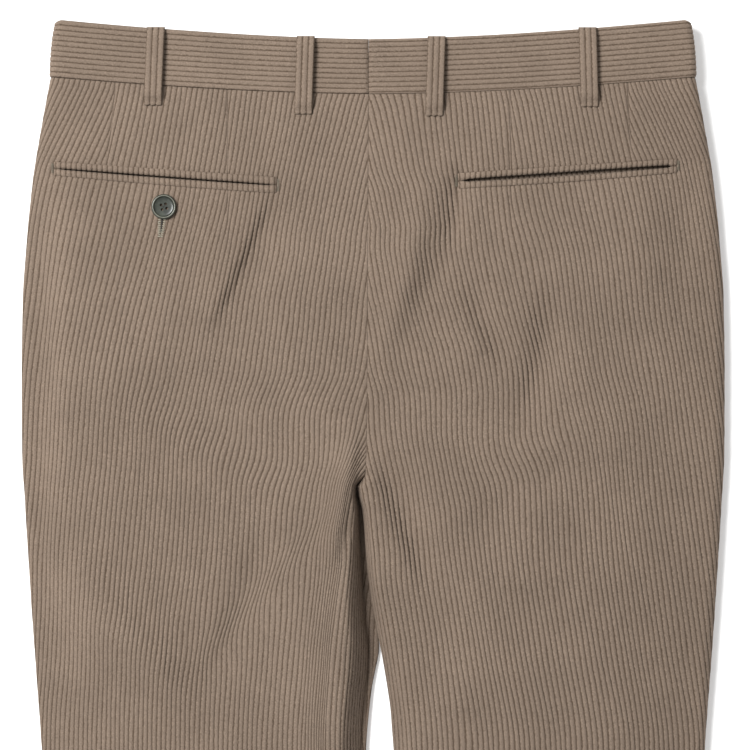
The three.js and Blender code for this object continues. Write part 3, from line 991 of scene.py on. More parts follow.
@dataclass(frozen=True)
class ThreadFinish:
    """Twisted sewing thread."""

    name: str
    colour: tuple[float, float, float]
    twist: float = 2400.0
    dark_share: float = 0.55
    roughness: float = 0.6

    def material(self) -> bpy.types.Material:
        """Builds the thread's material with a fine twist.

        Returns:
            The material.
        """
        material, nodes, shader = new_material(self.name, {"Roughness": self.roughness})
        place = nodes.add("ShaderNodeTexCoord").outputs["Object"]
        shade = nodes.ranged(nodes.noise(place, self.twist, 2.0), 0.3, 0.7, 0.0, 0.35)
        dark = linear(*[self.dark_share * c for c in self.colour])
        colour = nodes.blend(shade, linear(*self.colour), dark)
        nodes.tree.links.new(colour, shader.inputs["Base Color"])
        return material


@dataclass(frozen=True)
class FloorFinish:
    """Plain white studio surface that glows a little: painted light that lightens the shadows on it."""

    name: str = "floor"
    colour: tuple[float, float, float] = (245, 245, 245)
    # Painted light: the floor's own glow, though it is no lamp
    glow: float = 0.3

    def material(self) -> bpy.types.Material:
        """Builds the matt white material.

        Returns:
            The material.
        """
        values = {
            "Base Color": linear(*self.colour),
            "Emission Color": linear(*self.colour),
            "Emission Strength": self.glow,
            "Roughness": 1.0,
            "Specular IOR Level": 0.0,
        }
        return new_material(self.name, values)[0]


def stock(finish: CorduroyFinish | HornFinish | ThreadFinish) -> bpy.types.Material:
    """A field whose material is made with the wardrobe."""
    return field(default_factory=finish.material)


@dataclass
class Wardrobe:
    """All finishes, made once and shared by the pieces."""

    cloth: bpy.types.Material = stock(CorduroyFinish())
    horn: bpy.types.Material = stock(HornFinish())
    tack: bpy.types.Material = stock(ThreadFinish("tack_thread", (122, 113, 98)))
    hole: bpy.types.Material = stock(ThreadFinish("hole_thread", (158, 153, 136)))
    # Painted shade: the dark strip in the buttonhole's slit; the button's dark threads use it too
    slit: bpy.types.Material = stock(ThreadFinish("slit_shade_and_button_thread", (40, 34, 28)))
    seam: bpy.types.Material = stock(ThreadFinish("seam_thread", (78, 64, 53)))
    tape: bpy.types.Material = stock(ThreadFinish("zip_tape", (92, 84, 74)))
    tooth: bpy.types.Material = stock(ThreadFinish("zip_teeth", (120, 116, 106)))


@dataclass(frozen=True)
class Cut:
    """The flat cut of a piece of cloth, in metres and square metres, and what the piece lies on."""

    width: float
    length: float
    rests_on: str
    area: float | None = None


def dress(
    piece: bpy.types.Object, material: bpy.types.Material, slot: str, *nodes: str, cut: Cut | None = None
) -> None:
    """Gives a piece its finish, hangs it on the body and hides the CAD nodes that it stands for.

    Args:
        piece: The finished object.
        material: Its finish.
        slot: The record's material slot; not used.
        nodes: The CAD nodes that it stands for.
        cut: The flat cut, where the piece is a sheet of cloth; not used.
    """
    piece.data.materials.clear()
    piece.data.materials.append(material)
    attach(piece, BODY)
    if nodes:
        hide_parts(*nodes)
    LOG.info("%s: %d faces", piece.name, len(piece.data.polygons))


def stepped(stretches: tuple[tuple[float, float, float], ...]) -> Array:
    """Row heights from stretches of start, end and step, each joined to the next.

    Args:
        stretches: Start, end and step of each stretch.

    Returns:
        The heights, from the top down.
    """
    parts = [np.array([stretches[0][0]])]
    for start, end, step in stretches:
        parts.append(np.linspace(start, end, max(2, round(abs(start - end) / step) + 1))[1:])
    return np.concatenate(parts)


@dataclass
class PocketLine:
    """A back pocket's slit: its upper line, height and mouth."""

    side: Side
    side_end: tuple[float, float]
    inner_end: tuple[float, float]
    side_height: float
    inner_height: float
    belly: float
    mouth: float
    welt_area: float

    def share(self, x: Array) -> Array:
        """0 at the side end and 1 at the inner end."""
        return (x - self.side_end[0]) / (self.inner_end[0] - self.side_end[0])

    def bounds(self, x: Array) -> tuple[Array, Array]:
        """The real heights of the slit's lower and upper line at x.

        Args:
            x: Places across.

        Returns:
            The lower and the upper height.
        """
        share = np.clip(self.share(x), 0, 1)
        upper = mix(self.side_end[1], self.inner_end[1], share)
        height = mix(self.side_height, self.inner_height, share) + self.belly * np.sin(math.pi * share)
        return upper - height, upper


# Side, outer end, inner end, the heights there, belly, mouth and a welt's flat area
POCKETS = {
    Side.LEFT: PocketLine(Side.LEFT, (-207.4, 438.1), (-61.8, 427.7), 8.8, 10.4, 0.8, 1.4, 0.00117),
    Side.RIGHT: PocketLine(Side.RIGHT, (197.5, 439.9), (54.6, 430.4), 9.0, 10.0, 1.0, 3.0, 0.00114),
}


@dataclass
class Panel:
    """One of the four large pieces: a ribbed wall on the form, from a side seam to the middle."""

    side: Side
    face: Face
    drift: Drift
    rows: tuple[tuple[float, float, float], ...]
    darts: tuple[Dart, ...] = ()
    drags: tuple[Fold, ...] = ()
    # The flat cut: width, length and area
    flat: tuple[float, float, float] = (0.25, 1.065, 0.232)
    # How the edges roll down to the inside seam, the centre seam, and the waist and hem
    seam_roll: float = 0.7
    centre_roll: float = 0.25
    end_roll: float = 0.5
    seam_width: float = 1.3
    # How far in from the edges and the ends the cords rise to their full height
    edge_press: tuple[float, float] = (0.4, 1.8)
    end_press: tuple[float, float] = (0.5, 1.4)
    hem_allowance: float = 4.0
    # The place that both the cloth and the form count from, and how far cords are laid out
    centre: float = 115.0
    reach: float = 420.0
    # How much the cords differ in height, and their wander: size, pace down and step between cords
    change: float = 0.16
    wander: tuple[tuple[float, float, float], ...] = ((0.16, 0.071, 0.9), (0.10, 0.173, 2.3))
    inner_columns: int = 8
    inner_rows: int = 3
    seed: int = 7

    @property
    def name(self) -> str:
        """The piece's name."""
        return f"{self.face.name.lower()}_{self.side.label}"

    def cut(self) -> Cut:
        """The panel's flat cut, and the floor that it lies on."""
        width, length, area = self.flat
        return Cut(width, length, "floor", area)

    def profile(self, y: Array) -> tuple[Array, Array, Array]:
        """Cross sections of the form.

        Args:
            y: Side heights of the rows.

        Returns:
            For each row: places x, heights z, and the length along the cloth, which equals x at
            the middle of the panel.
        """
        x = FORM.across(self.face, self.side, y)
        z = FORM.height(self.face, self.side, x, np.broadcast_to(y[:, None], x.shape))
        steps = np.hypot(np.diff(x, axis=1), np.diff(z, axis=1))
        run = np.concatenate([np.zeros((len(y), 1)), np.cumsum(steps, axis=1)], axis=1)
        middle = self.side.value * self.centre
        start = np.array([np.interp(middle, x[r], run[r]) for r in range(len(y))])
        return x, z, run - start[:, None] + middle

    def relief(self, heights: Array) -> Array:
        """The cords' heights, each cord a little different.

        Args:
            heights: The height of each column of points.

        Returns:
            The heights, made uneven.
        """
        chance = np.random.default_rng(self.seed)
        cords = len(heights) // len(CORD.places) + 2
        lively = 1 + self.change * (chance.random(cords) - 0.5)
        return heights * np.repeat(lively, len(CORD.places))[: len(heights)]

    def wobble(self, cloth: Array, y: Array) -> Array:
        """Small sideways wander of the cords down the panel."""
        cord = np.floor(cloth / CORD.pitch)[None, :]
        return sum(size * np.sin(pace * y[:, None] + step * cord) for size, pace, step in self.wander)

    def sink(self, x: Array, y: Array, real_y: Array) -> Array:
        """How far the cloth is pressed in by darts and pockets."""
        return sum((dart.ditch_at(x, y) for dart in self.darts), np.zeros_like(x))

    def lay_cords(self, y: Array, low: Array, high: Array) -> tuple[Array, Array, Array]:
        """Lays the cords across the panel.

        Args:
            y: Side heights of the rows.
            low: Each row's left end, along the cloth.
            high: Each row's right end.

        Returns:
            The place of each point in each row, and for each column its cord count and height.
        """
        last = int(self.reach // CORD.pitch)
        counts, heights = CORD.across(-last - 1, last)
        cloth = counts * CORD.pitch
        places = self.drift.places(cloth, y)
        places = places + sum(drag.height_at(places, y[:, None]) for drag in self.drags)
        for dart in self.darts:
            places = dart.close(places, y)
        places = places + self.wobble(cloth, y)
        seen = np.flatnonzero(((places > low) & (places < high)).any(axis=0))
        window = slice(max(seen[0] - 1, 0), seen[-1] + 2)
        return places[:, window], counts[window], self.relief(heights[window])

    def rise(self, y: Array, to_left: Array, to_right: Array, lean: Array, heights: Array) -> Array:
        """How far the ribbed face stands off the form.

        Args:
            y: Side heights of the rows.
            to_left: How far each point is from its row's left end.
            to_right: How far each point is from its row's right end.
            lean: The form's slope at each point, as an angle.
            heights: The cords' height at each point.

        Returns:
            The rise of each point, below 0 where an edge rolls down.
        """
        from_edge = np.minimum(to_left, to_right)
        from_ends = np.minimum(FORM.waist - y, y - FORM.hem + self.hem_allowance)[:, None]
        pressed = smooth((from_edge + self.edge_press[0]) / self.edge_press[1])
        pressed = pressed * smooth((from_ends + self.end_press[0]) / self.end_press[1])
        deep = mix(self.centre_roll, self.seam_roll, FORM.legs(y))[:, None]
        steep = np.where((to_left < to_right) == (self.side is Side.RIGHT), np.cos(lean) ** 2, 1.0)
        roll = deep * steep * np.exp(-((from_edge / self.seam_width) ** 2))
        roll = np.maximum(roll, self.end_roll * np.exp(-((from_ends / self.seam_width) ** 2)))
        return heights * pressed - roll

    def build(self, finish: bpy.types.Material) -> bpy.types.Object:
        """Builds and dresses the panel.

        Args:
            finish: The cloth's material.

        Returns:
            The finished object.
        """
        up, out = self.face is Face.BACK, self.face.value
        y = stepped(self.rows)
        x_row, z_row, run = self.profile(y)
        low, high = run[:, :1], run[:, -1:]
        places, counts, heights = self.lay_cords(y, low, high)
        clamped = np.clip(places, low, high)
        slope = np.arctan2(np.gradient(z_row, axis=1), np.gradient(x_row, axis=1))
        x, z, lean = (
            np.stack([np.interp(clamped[r], run[r], known[r]) for r in range(len(y))])
            for known in (x_row, z_row, slope)
        )
        normal = np.stack([-out * np.sin(lean), np.zeros_like(lean), out * np.cos(lean)], axis=2)
        real_y = y[:, None] - FORM.dip(x, np.broadcast_to(y[:, None], x.shape), self.face)
        lively = heights[None, :] * (1 + FORM.creasing(x, real_y) * up)
        sunk = self.sink(x, y, real_y)
        rise = self.rise(y, clamped - low, high - clamped, lean, lively) - sunk
        base = np.stack([x, real_y, z], axis=2)
        outer = base + normal * rise[:, :, None]
        if not up:
            outer[:, :, 2] = np.maximum(outer[:, :, 2], 0.0)
        edge_count = (clamped - places) / CORD.pitch + counts[None, :]
        count = np.where(clamped == places, counts[None, :], edge_count)
        uv = np.stack([count, real_y / CORD.pitch], axis=2)
        pick_rows = picked(len(y), self.inner_rows)
        picks = np.ix_(pick_rows, picked(places.shape[1], self.inner_columns))
        inner = (base - normal * (FORM.wall + sunk)[:, :, None])[picks]
        inner_same = shared(places[picks], low[pick_rows], high[pick_rows])
        piece = Shell(f"{self.name}_cloth").wrap(
            Sheet(outer, uv, shared(places, low, high)), Sheet(inner, uv[picks], inner_same), up
        )
        dress(piece, finish, "corduroy", self.name, cut=self.cut())
        return piece


@dataclass
class BackPanel(Panel):
    """A back panel, with its darts and the sunk place where the pocket's welts are set."""

    flat: tuple[float, float, float] = (0.262, 1.075, 0.241)
    slot_depth: float = 6.0
    ditch_depth: float = 0.55

    def cut(self) -> Cut:
        """The panel's flat cut, and the front that it lies on."""
        width, length, area = self.flat
        return Cut(width, length, f"front_{self.side.label}_cloth", area)

    def sink(self, x: Array, y: Array, real_y: Array) -> Array:
        """Adds the pocket's slit to the darts.

        Args:
            x: Places across.
            y: Side heights of the rows.
            real_y: Real heights.

        Returns:
            The depth at each place.
        """
        pocket = POCKETS[self.side]
        lower, upper = pocket.bounds(x)
        ends = np.sort([pocket.side_end[0], pocket.inner_end[0]])
        beside = np.maximum(ends[0] - x, x - ends[1])
        outside = np.maximum(np.maximum(lower - real_y, real_y - upper), beside)
        slot = self.slot_depth * smooth((-outside - 0.2) / 1.2)
        ditch = self.ditch_depth * np.exp(-np.maximum(outside, 0) / 1.3)
        pressed = np.where(outside < 0, np.maximum(slot, self.ditch_depth), ditch)
        return super().sink(x, y, real_y) + pressed


# The guide cords' places down each back, in steps that follow the cloth's pull to the crotch
LEFT_DRIFT = Drift(
    (-235, -195, -164, -133, -101, -70, -39, -23, -6, 14),
    (
        (493, 43, 42.3, 42.1, 42.1, 42.2, 43.4, 44.5, 46.5, 47.5, 47.5),
        (481.6, 39.5, 40.3, 40.3, 40.3, 40.3, 40.3, 40.8, 42.5, 43.5, 43.5),
        (416.6, 19.5, 25.3, 29.2, 27.9, 24.7, 22.7, 21.4, 20.8, 20.8, 20.8),
        (380.9, 12, 17.5, 20.8, 19.5, 17.5, 16.9, 15.6, 15.6, 15.6, 15.6),
        (341.9, 6.5, 9.1, 11, 12.3, 10.4, 10.4, 10.4, 10.4, 10.4, 10.4),
        (302.9, 1.9, 1.9, 3.2, 5.2, 4.5, 4.5, 5.2, 5.2, 5.2, 5.2),
        (283.4, 0, 0, 0, 0, 0, 0, 0, 0, 0, 0),
        (263.9, -1.1, -1.3, -2, -3.9, -4.6, -3.8, -3.4, -3.3, -4.5, -6.5),
        (245, -2, -2.6, -3.2, -6, -8.2, -6, -4.4, -5.2, -10, -17),
        (226.9, -3.2, -4.6, -5.2, -7.2, -9.6, -10, -8.6, -10, -16, -27),
        (179.4, -6, -9.1, -9.8, -11.1, -13, -14.3, -17, -17, -22, -33),
        (120.9, -8, -13, -15, -17.6, -20.2, -22.1, -23.4, -23.4, -29, -40),
        (59.2, -7.5, -15, -16.9, -20.2, -23.4, -26, -28, -28, -33, -44),
        (-140, -9, -16, -18, -21.5, -25, -28, -30, -30, -34, -42),
        (-529.5, -6, -10, -12, -16, -19, -22, -25, -25, -27, -31),
    ),
)
RIGHT_DRIFT = Drift(
    (23, 39, 70, 101, 133, 164, 195, 211, 240),
    (
        (493, -46.5, -45, -37, -36.3, -37.5, -36.4, -36.8, -37.8, -42.7),
        (481.6, -42.5, -41, -35.6, -34.5, -34.5, -34.5, -34.5, -34.7, -38.8),
        (416.6, -24, -25, -24.5, -25, -23.4, -22.1, -19.5, -19.5, -22.5),
        (380.9, -19, -19.5, -19.5, -18.5, -14.5, -15, -13.5, -14.5, -15.4),
        (341.9, -12.3, -13, -11.7, -10.4, -9.5, -10.5, -9.7, -9.7, -9.5),
        (302.9, -4.5, -3.3, -2, -1.2, -4, -4.8, -2.6, -3.3, -3.1),
        (283.4, 0, 0, 0, 0, 0, 0, 0, 0, 0),
        (263.9, 1.3, 0.7, 0, 1.3, 4.6, 3.3, 2.2, 3.3, 2.9),
        (226.9, 7.8, 7.2, 7.6, 10.4, 10.2, 6.6, 7.8, 8.5, 7.7),
        (179.4, 13, 13, 12.4, 13, 14, 12.9, 14.5, 15, 13.4),
        (120.9, 22.1, 22.4, 20.8, 21.5, 22.4, 21.3, 22.5, 22.8, 19.2),
        (59.2, 28.5, 31, 30.8, 30.4, 31.5, 30, 30.5, 30.5, 22.3),
        (-140, 33, 35, 35, 34, 34.5, 33.5, 33, 33, 24),
        (-529.5, 28, 30, 30, 29, 29.5, 28.5, 28, 28, 20),
    ),
)
FRONT_DRIFT = Drift((0,), ((493, 0), (300, 0), (222, 0), (56, 1), (-140, 3), (-529.5, 7)))
# Sideways shifts of the cords, where the cloth is dragged
LEFT_DRAGS = (
    Fold((-36, 214), (-116, 124), 2.2, 11, 12),
    Fold((-24, 203), (-104, 113), -2.2, 11, 11),
    Fold((-143, 293), (-52, 234), 0.9, 12, 12),
    Fold((-151, 275), (-60, 216), -0.9, 12, 12),
    Fold((-85, 300), (-15, 300), 0.6, 10, 10),
    Fold((-85, 278), (-15, 276), -1.6, 12, 12),
    Fold((-179, 161), (-107, 103), 0.6, 12, 12),
    Fold((-189, 145), (-117, 87), -0.6, 12, 12),
)
RIGHT_DRAGS = (
    Fold((131, 273), (40, 227), -0.8, 12, 12),
    Fold((139, 255), (48, 209), 0.8, 12, 12),
)
# Stretches of rows down the panels: start, end and step
BACK_ROWS = (
    (492.8, 488.0, 0.8),
    (488.0, 442.0, 2.2),
    (442.0, 425.0, 0.75),
    (425.0, 252.0, 2.2),
    (252.0, 214.0, 1.5),
    (214.0, 56.0, 2.3),
    (56.0, -524.0, 7.4),
    (-524.0, -529.5, 1.4),
)
FRONT_ROWS = (
    (492.8, 488.0, 1.2),
    (488.0, 400.0, 4.0),
    (400.0, 252.0, 6.0),
    (252.0, 214.0, 3.0),
    (214.0, -524.0, 9.0),
    (-524.0, -529.5, 2.0),
)


def make_panels(finish: bpy.types.Material) -> list[bpy.types.Object]:
    """Builds the two backs and the two fronts.

    Args:
        finish: The cloth's material.

    Returns:
        The four panels.
    """
    # Each dart's top, its tip, what it takes in, and the side whose cords run into it
    left_darts = (
        Dart((-167.0, 488.0), (-173.0, 436.0), 7.5, Side.LEFT),
        Dart((-94.2, 484.0), (-93.5, 388.0), 5.2, Side.RIGHT),
    )
    right_darts = (
        Dart((89.0, 484.0), (89.5, 388.0), 4.6, Side.LEFT),
        Dart((165.0, 486.0), (167.7, 440.0), 8.0, Side.RIGHT),
    )
    panels = (
        BackPanel(Side.LEFT, Face.BACK, LEFT_DRIFT, BACK_ROWS, left_darts, LEFT_DRAGS),
        BackPanel(Side.RIGHT, Face.BACK, RIGHT_DRIFT, BACK_ROWS, right_darts, RIGHT_DRAGS, seed=11),
        Panel(Side.LEFT, Face.FRONT, FRONT_DRIFT, FRONT_ROWS, seed=13),
        Panel(Side.RIGHT, Face.FRONT, FRONT_DRIFT, FRONT_ROWS, seed=17),
    )
    return [panel.build(finish) for panel in panels]


@dataclass
class Waistband:
    """Half of the waistband: cords lie across the body, round the side fold to the front."""

    side: Side
    cut_length: float
    shift: float = 0.0
    cut_width: float = 0.052
    cords: int = 11
    back_step: float = 2.4
    front_step: float = 4.0
    edge: float = 1.6
    softness: float = 0.8
    seam_share: float = 0.35
    top_share: float = 0.8
    joint: float = 0.03
    corner: float = 1.6
    fold_steps: int = 15
    soft_edge: float = 1.4
    end_seam: tuple[float, float] = (0.9, 1.2)
    # The band's slow waves: size, pace across and start
    waves: tuple[tuple[float, float, float], ...] = ((0.35, 0.045, 0.6), (0.2, 0.11, 0.0))
    inner_shares: tuple[float, ...] = (1.0, 0.66, 0.33, 0.0)
    inner_columns: int = 3

    @property
    def name(self) -> str:
        """The piece's name."""
        return f"waistband_{self.side.label}"

    def along(self, v: Array) -> tuple[Array, Array, Array, Array]:
        """The band's run at shares of its height.

        Args:
            v: The shares, one for each row.

        Returns:
            x, z, the turn of its face from 0 (up) to pi (down), and how deep the waist dips.
        """
        half_width = mix(BAND.seam_half_width, BAND.top_half_width, v * v)[:, None]
        flat_end = half_width - BAND.fold
        start = self.side.value * FORM.centre_seam.rows[0][1] + self.joint
        reach = BAND.seam_half_width - BAND.fold - start
        back = np.linspace(0, 1, round(reach / self.back_step))[None, :]
        fold = np.linspace(0, 1, self.fold_steps)[None, 1:-1]
        front = np.linspace(0, 1, round(reach / self.front_step))[None, :]
        front_end = start - BAND.overlap if self.side is Side.LEFT else start
        turn = np.concatenate([0 * back, math.pi * fold, math.pi + 0 * front], axis=1)
        turn = np.broadcast_to(turn, (len(v), turn.shape[1]))
        round_end = flat_end + BAND.fold * np.sin(math.pi * fold)
        parts = [mix(start, flat_end, back), round_end, mix(flat_end, front_end, front)]
        x = self.side.value * np.concatenate(parts, axis=1)
        spread = np.where(turn < math.pi / 2, BAND.back - BAND.seam, BAND.seam - BAND.front)
        z = BAND.seam + spread * np.cos(turn)
        if self.side is Side.LEFT:
            z = z - np.where(turn > 3.0, BAND.overlap_drop * BAND.ramp(x), 0)
        dip = mix(FORM.dip_back, FORM.dip_front, smooth(turn / math.pi))
        return x, z, turn, dip

    def grid(self, v: Array, rise: Array) -> Array:
        """Points of the band at shares v of its height, moved out by rise.

        Args:
            v: Shares of the band's height.
            rise: How far each point is moved out.

        Returns:
            Points in rows and columns.
        """
        x, z, turn, dip = self.along(v)
        out = np.minimum(1.0, np.abs(x) / FORM.dip_half_width)
        height = BAND.height + BAND.end_rise * out
        y = FORM.waist + height * v[:, None] - dip * (1 - out**FORM.dip_power)
        y = y - self.corner * np.sin(turn) ** 2 * v[:, None] ** 8
        (slow, slow_pace, slow_start), (quick, quick_pace, _) = self.waves
        wave = slow * np.sin(slow_pace * x + slow_start) + quick * np.sin(quick_pace * x + 2.0 * v[:, None])
        rise = rise + wave * np.where(turn < 0.1, 1.0, 0.0) * smooth((210 - np.abs(x)) / 30)
        normal = np.stack([self.side.value * np.sin(turn), 0 * turn, np.cos(turn)], axis=2)
        return np.stack([x, y, z], axis=2) + normal * rise[:, :, None]

    def build(self, finish: bpy.types.Material) -> bpy.types.Object:
        """Builds and dresses the band.

        Args:
            finish: The cloth's material.

        Returns:
            The finished object.
        """
        counts, heights = CORD.across(0, self.cords)
        v = counts / self.cords
        edge_rows = np.array([0.0, 0.012, 0.03, 0.97, 0.985, 1.0])
        rows = np.unique(np.round(np.concatenate([v + self.shift / self.cords, edge_rows]), 4))
        rows = rows[(rows >= 0) & (rows <= 1)][::-1]
        relief = self.softness * np.interp(rows * self.cords, counts + self.shift, heights)
        columns = self.along(rows)[0].shape[1]
        from_edge = np.minimum(rows, 1 - rows) * BAND.height
        from_end = np.minimum(np.arange(columns), np.arange(columns)[::-1]) * self.back_step
        soft = smooth(from_edge / self.soft_edge)[:, None]
        roll = self.edge * (1 - rounding(from_edge / self.edge))[:, None]
        seam = self.end_seam[0] * np.exp(-((from_end / self.end_seam[1]) ** 2))[None, :]
        low_edge = np.where(rows < 0.5, self.seam_share, self.top_share)[:, None]
        outer = self.grid(rows, relief[:, None] * soft - low_edge * roll - seam)
        shares = np.array(self.inner_shares)
        inner = self.grid(shares, np.full((len(shares), columns), -BAND.wall))
        picks = picked(columns, self.inner_columns)
        run = np.cumsum(np.append(0, np.linalg.norm(np.diff(outer[0], axis=0), axis=1)))
        uv = np.broadcast_arrays(rows[:, None] * self.cords - self.shift, run[None, :] / CORD.pitch)
        inner_uv = np.broadcast_arrays(shares[:, None] * self.cords, run[None, picks] / CORD.pitch)
        piece = Shell(f"{self.name}_cloth").wrap(
            Sheet(outer, np.stack(uv, axis=2)),
            Sheet(inner[:, picks], np.stack(inner_uv, axis=2)),
            self.side is Side.RIGHT,
        )
        dress(piece, finish, "corduroy", self.name, cut=Cut(self.cut_width, self.cut_length, "floor"))
        return piece


@dataclass
class BeltLoop:
    """A narrow folded strip, sewn down at both ends and lifted a little between them."""

    name: str
    face: Face
    top_x: float
    bottom_x: float
    hang: float
    width: float = 11.6
    cords: int = 3
    above: float = 0.5
    lift: float = 2.0
    wall: float = 2.4
    edge: float = 1.0
    end_share: float = 0.55
    scallop: float = 1.0
    clearance: float = 0.4
    length: float = 50.0
    roll_share: float = 0.85
    soft_edge: float = 1.2
    rows: int = 34
    flat: tuple[float, float] = (0.012, 0.06)

    def seat(self, x: Array, y: Array) -> Array:
        """Height of what the loop lies on, at real places.

        Args:
            x: Places across.
            y: Real heights.

        Returns:
            Heights above the floor.
        """
        side = Side.LEFT if self.top_x < 0 else Side.RIGHT
        height = FORM.side_height(x, y, self.face)
        panel = FORM.height(self.face, side, x, height)
        band = BAND.back if self.face is Face.BACK else BAND.front
        return np.where(height > FORM.waist, band, panel)

    def path(self, share: Array, across: Array) -> tuple[Array, Array, Array]:
        """Places of the loop's under face, down its length and across its width.

        Args:
            share: Shares of the loop's length, from its top.
            across: Shares of its half width, from -1 to 1.

        Returns:
            x, y and height.
        """
        depth = FORM.dip_back if self.face is Face.BACK else FORM.dip_front
        middle = mix(self.top_x, self.bottom_x, share)
        out = np.minimum(1.0, np.abs(middle) / FORM.dip_half_width)
        seam = FORM.waist - depth * (1 - out**FORM.dip_power)
        y = mix(seam + BAND.height + BAND.end_rise * out + self.above, seam - self.hang, share)
        x = middle + across * self.width / 2
        seat = self.face.value * self.seat(middle, y)
        arch = self.lift * smooth(share / 0.14) * smooth((1 - share) / 0.16)
        band = self.face.value * (BAND.back if self.face is Face.BACK else BAND.front)
        settle = np.maximum(seat, np.where(share < 0.8, band, seat))
        return x, y, settle + self.clearance + arch

    def thickness(self, share: Array) -> Array:
        """The strip's thickness down its length: thinner where it is sewn down at its lower end."""
        pressed = 0.5 * np.exp(-(((share - 0.955) / 0.018) ** 2))
        return self.wall * mix(1.0, self.end_share, smooth((share - 0.86) / 0.14)) - pressed

    def build(self, finish: bpy.types.Material) -> bpy.types.Object:
        """Builds and dresses the loop.

        Args:
            finish: The cloth's material.

        Returns:
            The finished object.
        """
        middle_rows = np.linspace(0.05, 0.95, self.rows)
        share = np.concatenate([[0, 0.006, 0.02], middle_rows, [0.975, 0.99, 1.0]])[:, None]
        counts, heights = CORD.across(0, self.cords)
        edge_columns = [0.015, 0.03, 0.07, 0.93, 0.97, 0.985]
        places = np.unique(np.concatenate([counts / self.cords, edge_columns]))
        relief = np.interp(places * self.cords, counts, heights)[None, :]
        across = 2 * places[None, :] - 1
        side_gap = np.minimum(places, 1 - places)[None, :] * self.width
        end_gap = np.minimum(share, 1 - share) * self.length
        near = np.minimum(side_gap, end_gap)
        roll = self.edge * (1 - rounding(near / self.edge))
        x, y, low = (np.broadcast_to(a, (len(share), len(places))) for a in self.path(share, across))
        thick = self.thickness(share)
        full = (relief - relief.min()) / (relief.max() - relief.min())
        y = y - self.scallop * full * smooth((share - 0.93) / 0.07)
        rounded = self.roll_share * roll * thick / self.wall
        top = low + thick - rounded + relief * smooth(near / self.soft_edge)
        outer, inner = (np.stack([x, y, self.face.value * z], axis=2) for z in (top, low))
        inner = inner[np.ix_(picked(len(share), 2), picked(len(places), 4))]
        uv = np.stack(np.broadcast_arrays(places[None, :] * self.cords, y / CORD.pitch), axis=2)
        piece = Shell(f"{self.name}_cloth").wrap(
            Sheet(outer, uv), Sheet(inner, np.zeros((*inner.shape[:2], 2))), self.face is Face.BACK
        )
        band = f"waistband_{'left' if self.top_x < 0 else 'right'}_cloth"
        dress(piece, finish, "corduroy", self.name, cut=Cut(*self.flat, band))
        return piece

    def stitch_line(self, share: float) -> Array:
        """Points across the loop's face, for the stitches that hold it.

        Args:
            share: The share of the loop's length.

        Returns:
            The points.
        """
        x, y, low = self.path(np.array([[share]]), np.linspace(-0.86, 0.86, 9)[None, :])
        x, y, low = np.broadcast_arrays(x, y, low)
        return np.stack([x, y, self.face.value * (low + self.thickness(np.array([[share]])))], axis=2)[0]


# Name, face, x at the top and at the foot, and how far the loop hangs below the seam
LOOPS = (
    BeltLoop("belt_loop_back_1", Face.BACK, -140.5, -142.6, 12.6),
    BeltLoop("belt_loop_back_2", Face.BACK, -43.5, -45.2, 13.4),
    BeltLoop("belt_loop_back_3", Face.BACK, 41.2, 39.6, 14.4),
    BeltLoop("belt_loop_back_4", Face.BACK, 138.8, 140.2, 13.4),
    BeltLoop("belt_loop_front_1", Face.FRONT, -98.0, -98.0, 13.0),
    BeltLoop("belt_loop_front_2", Face.FRONT, 98.0, 98.0, 13.0),
)


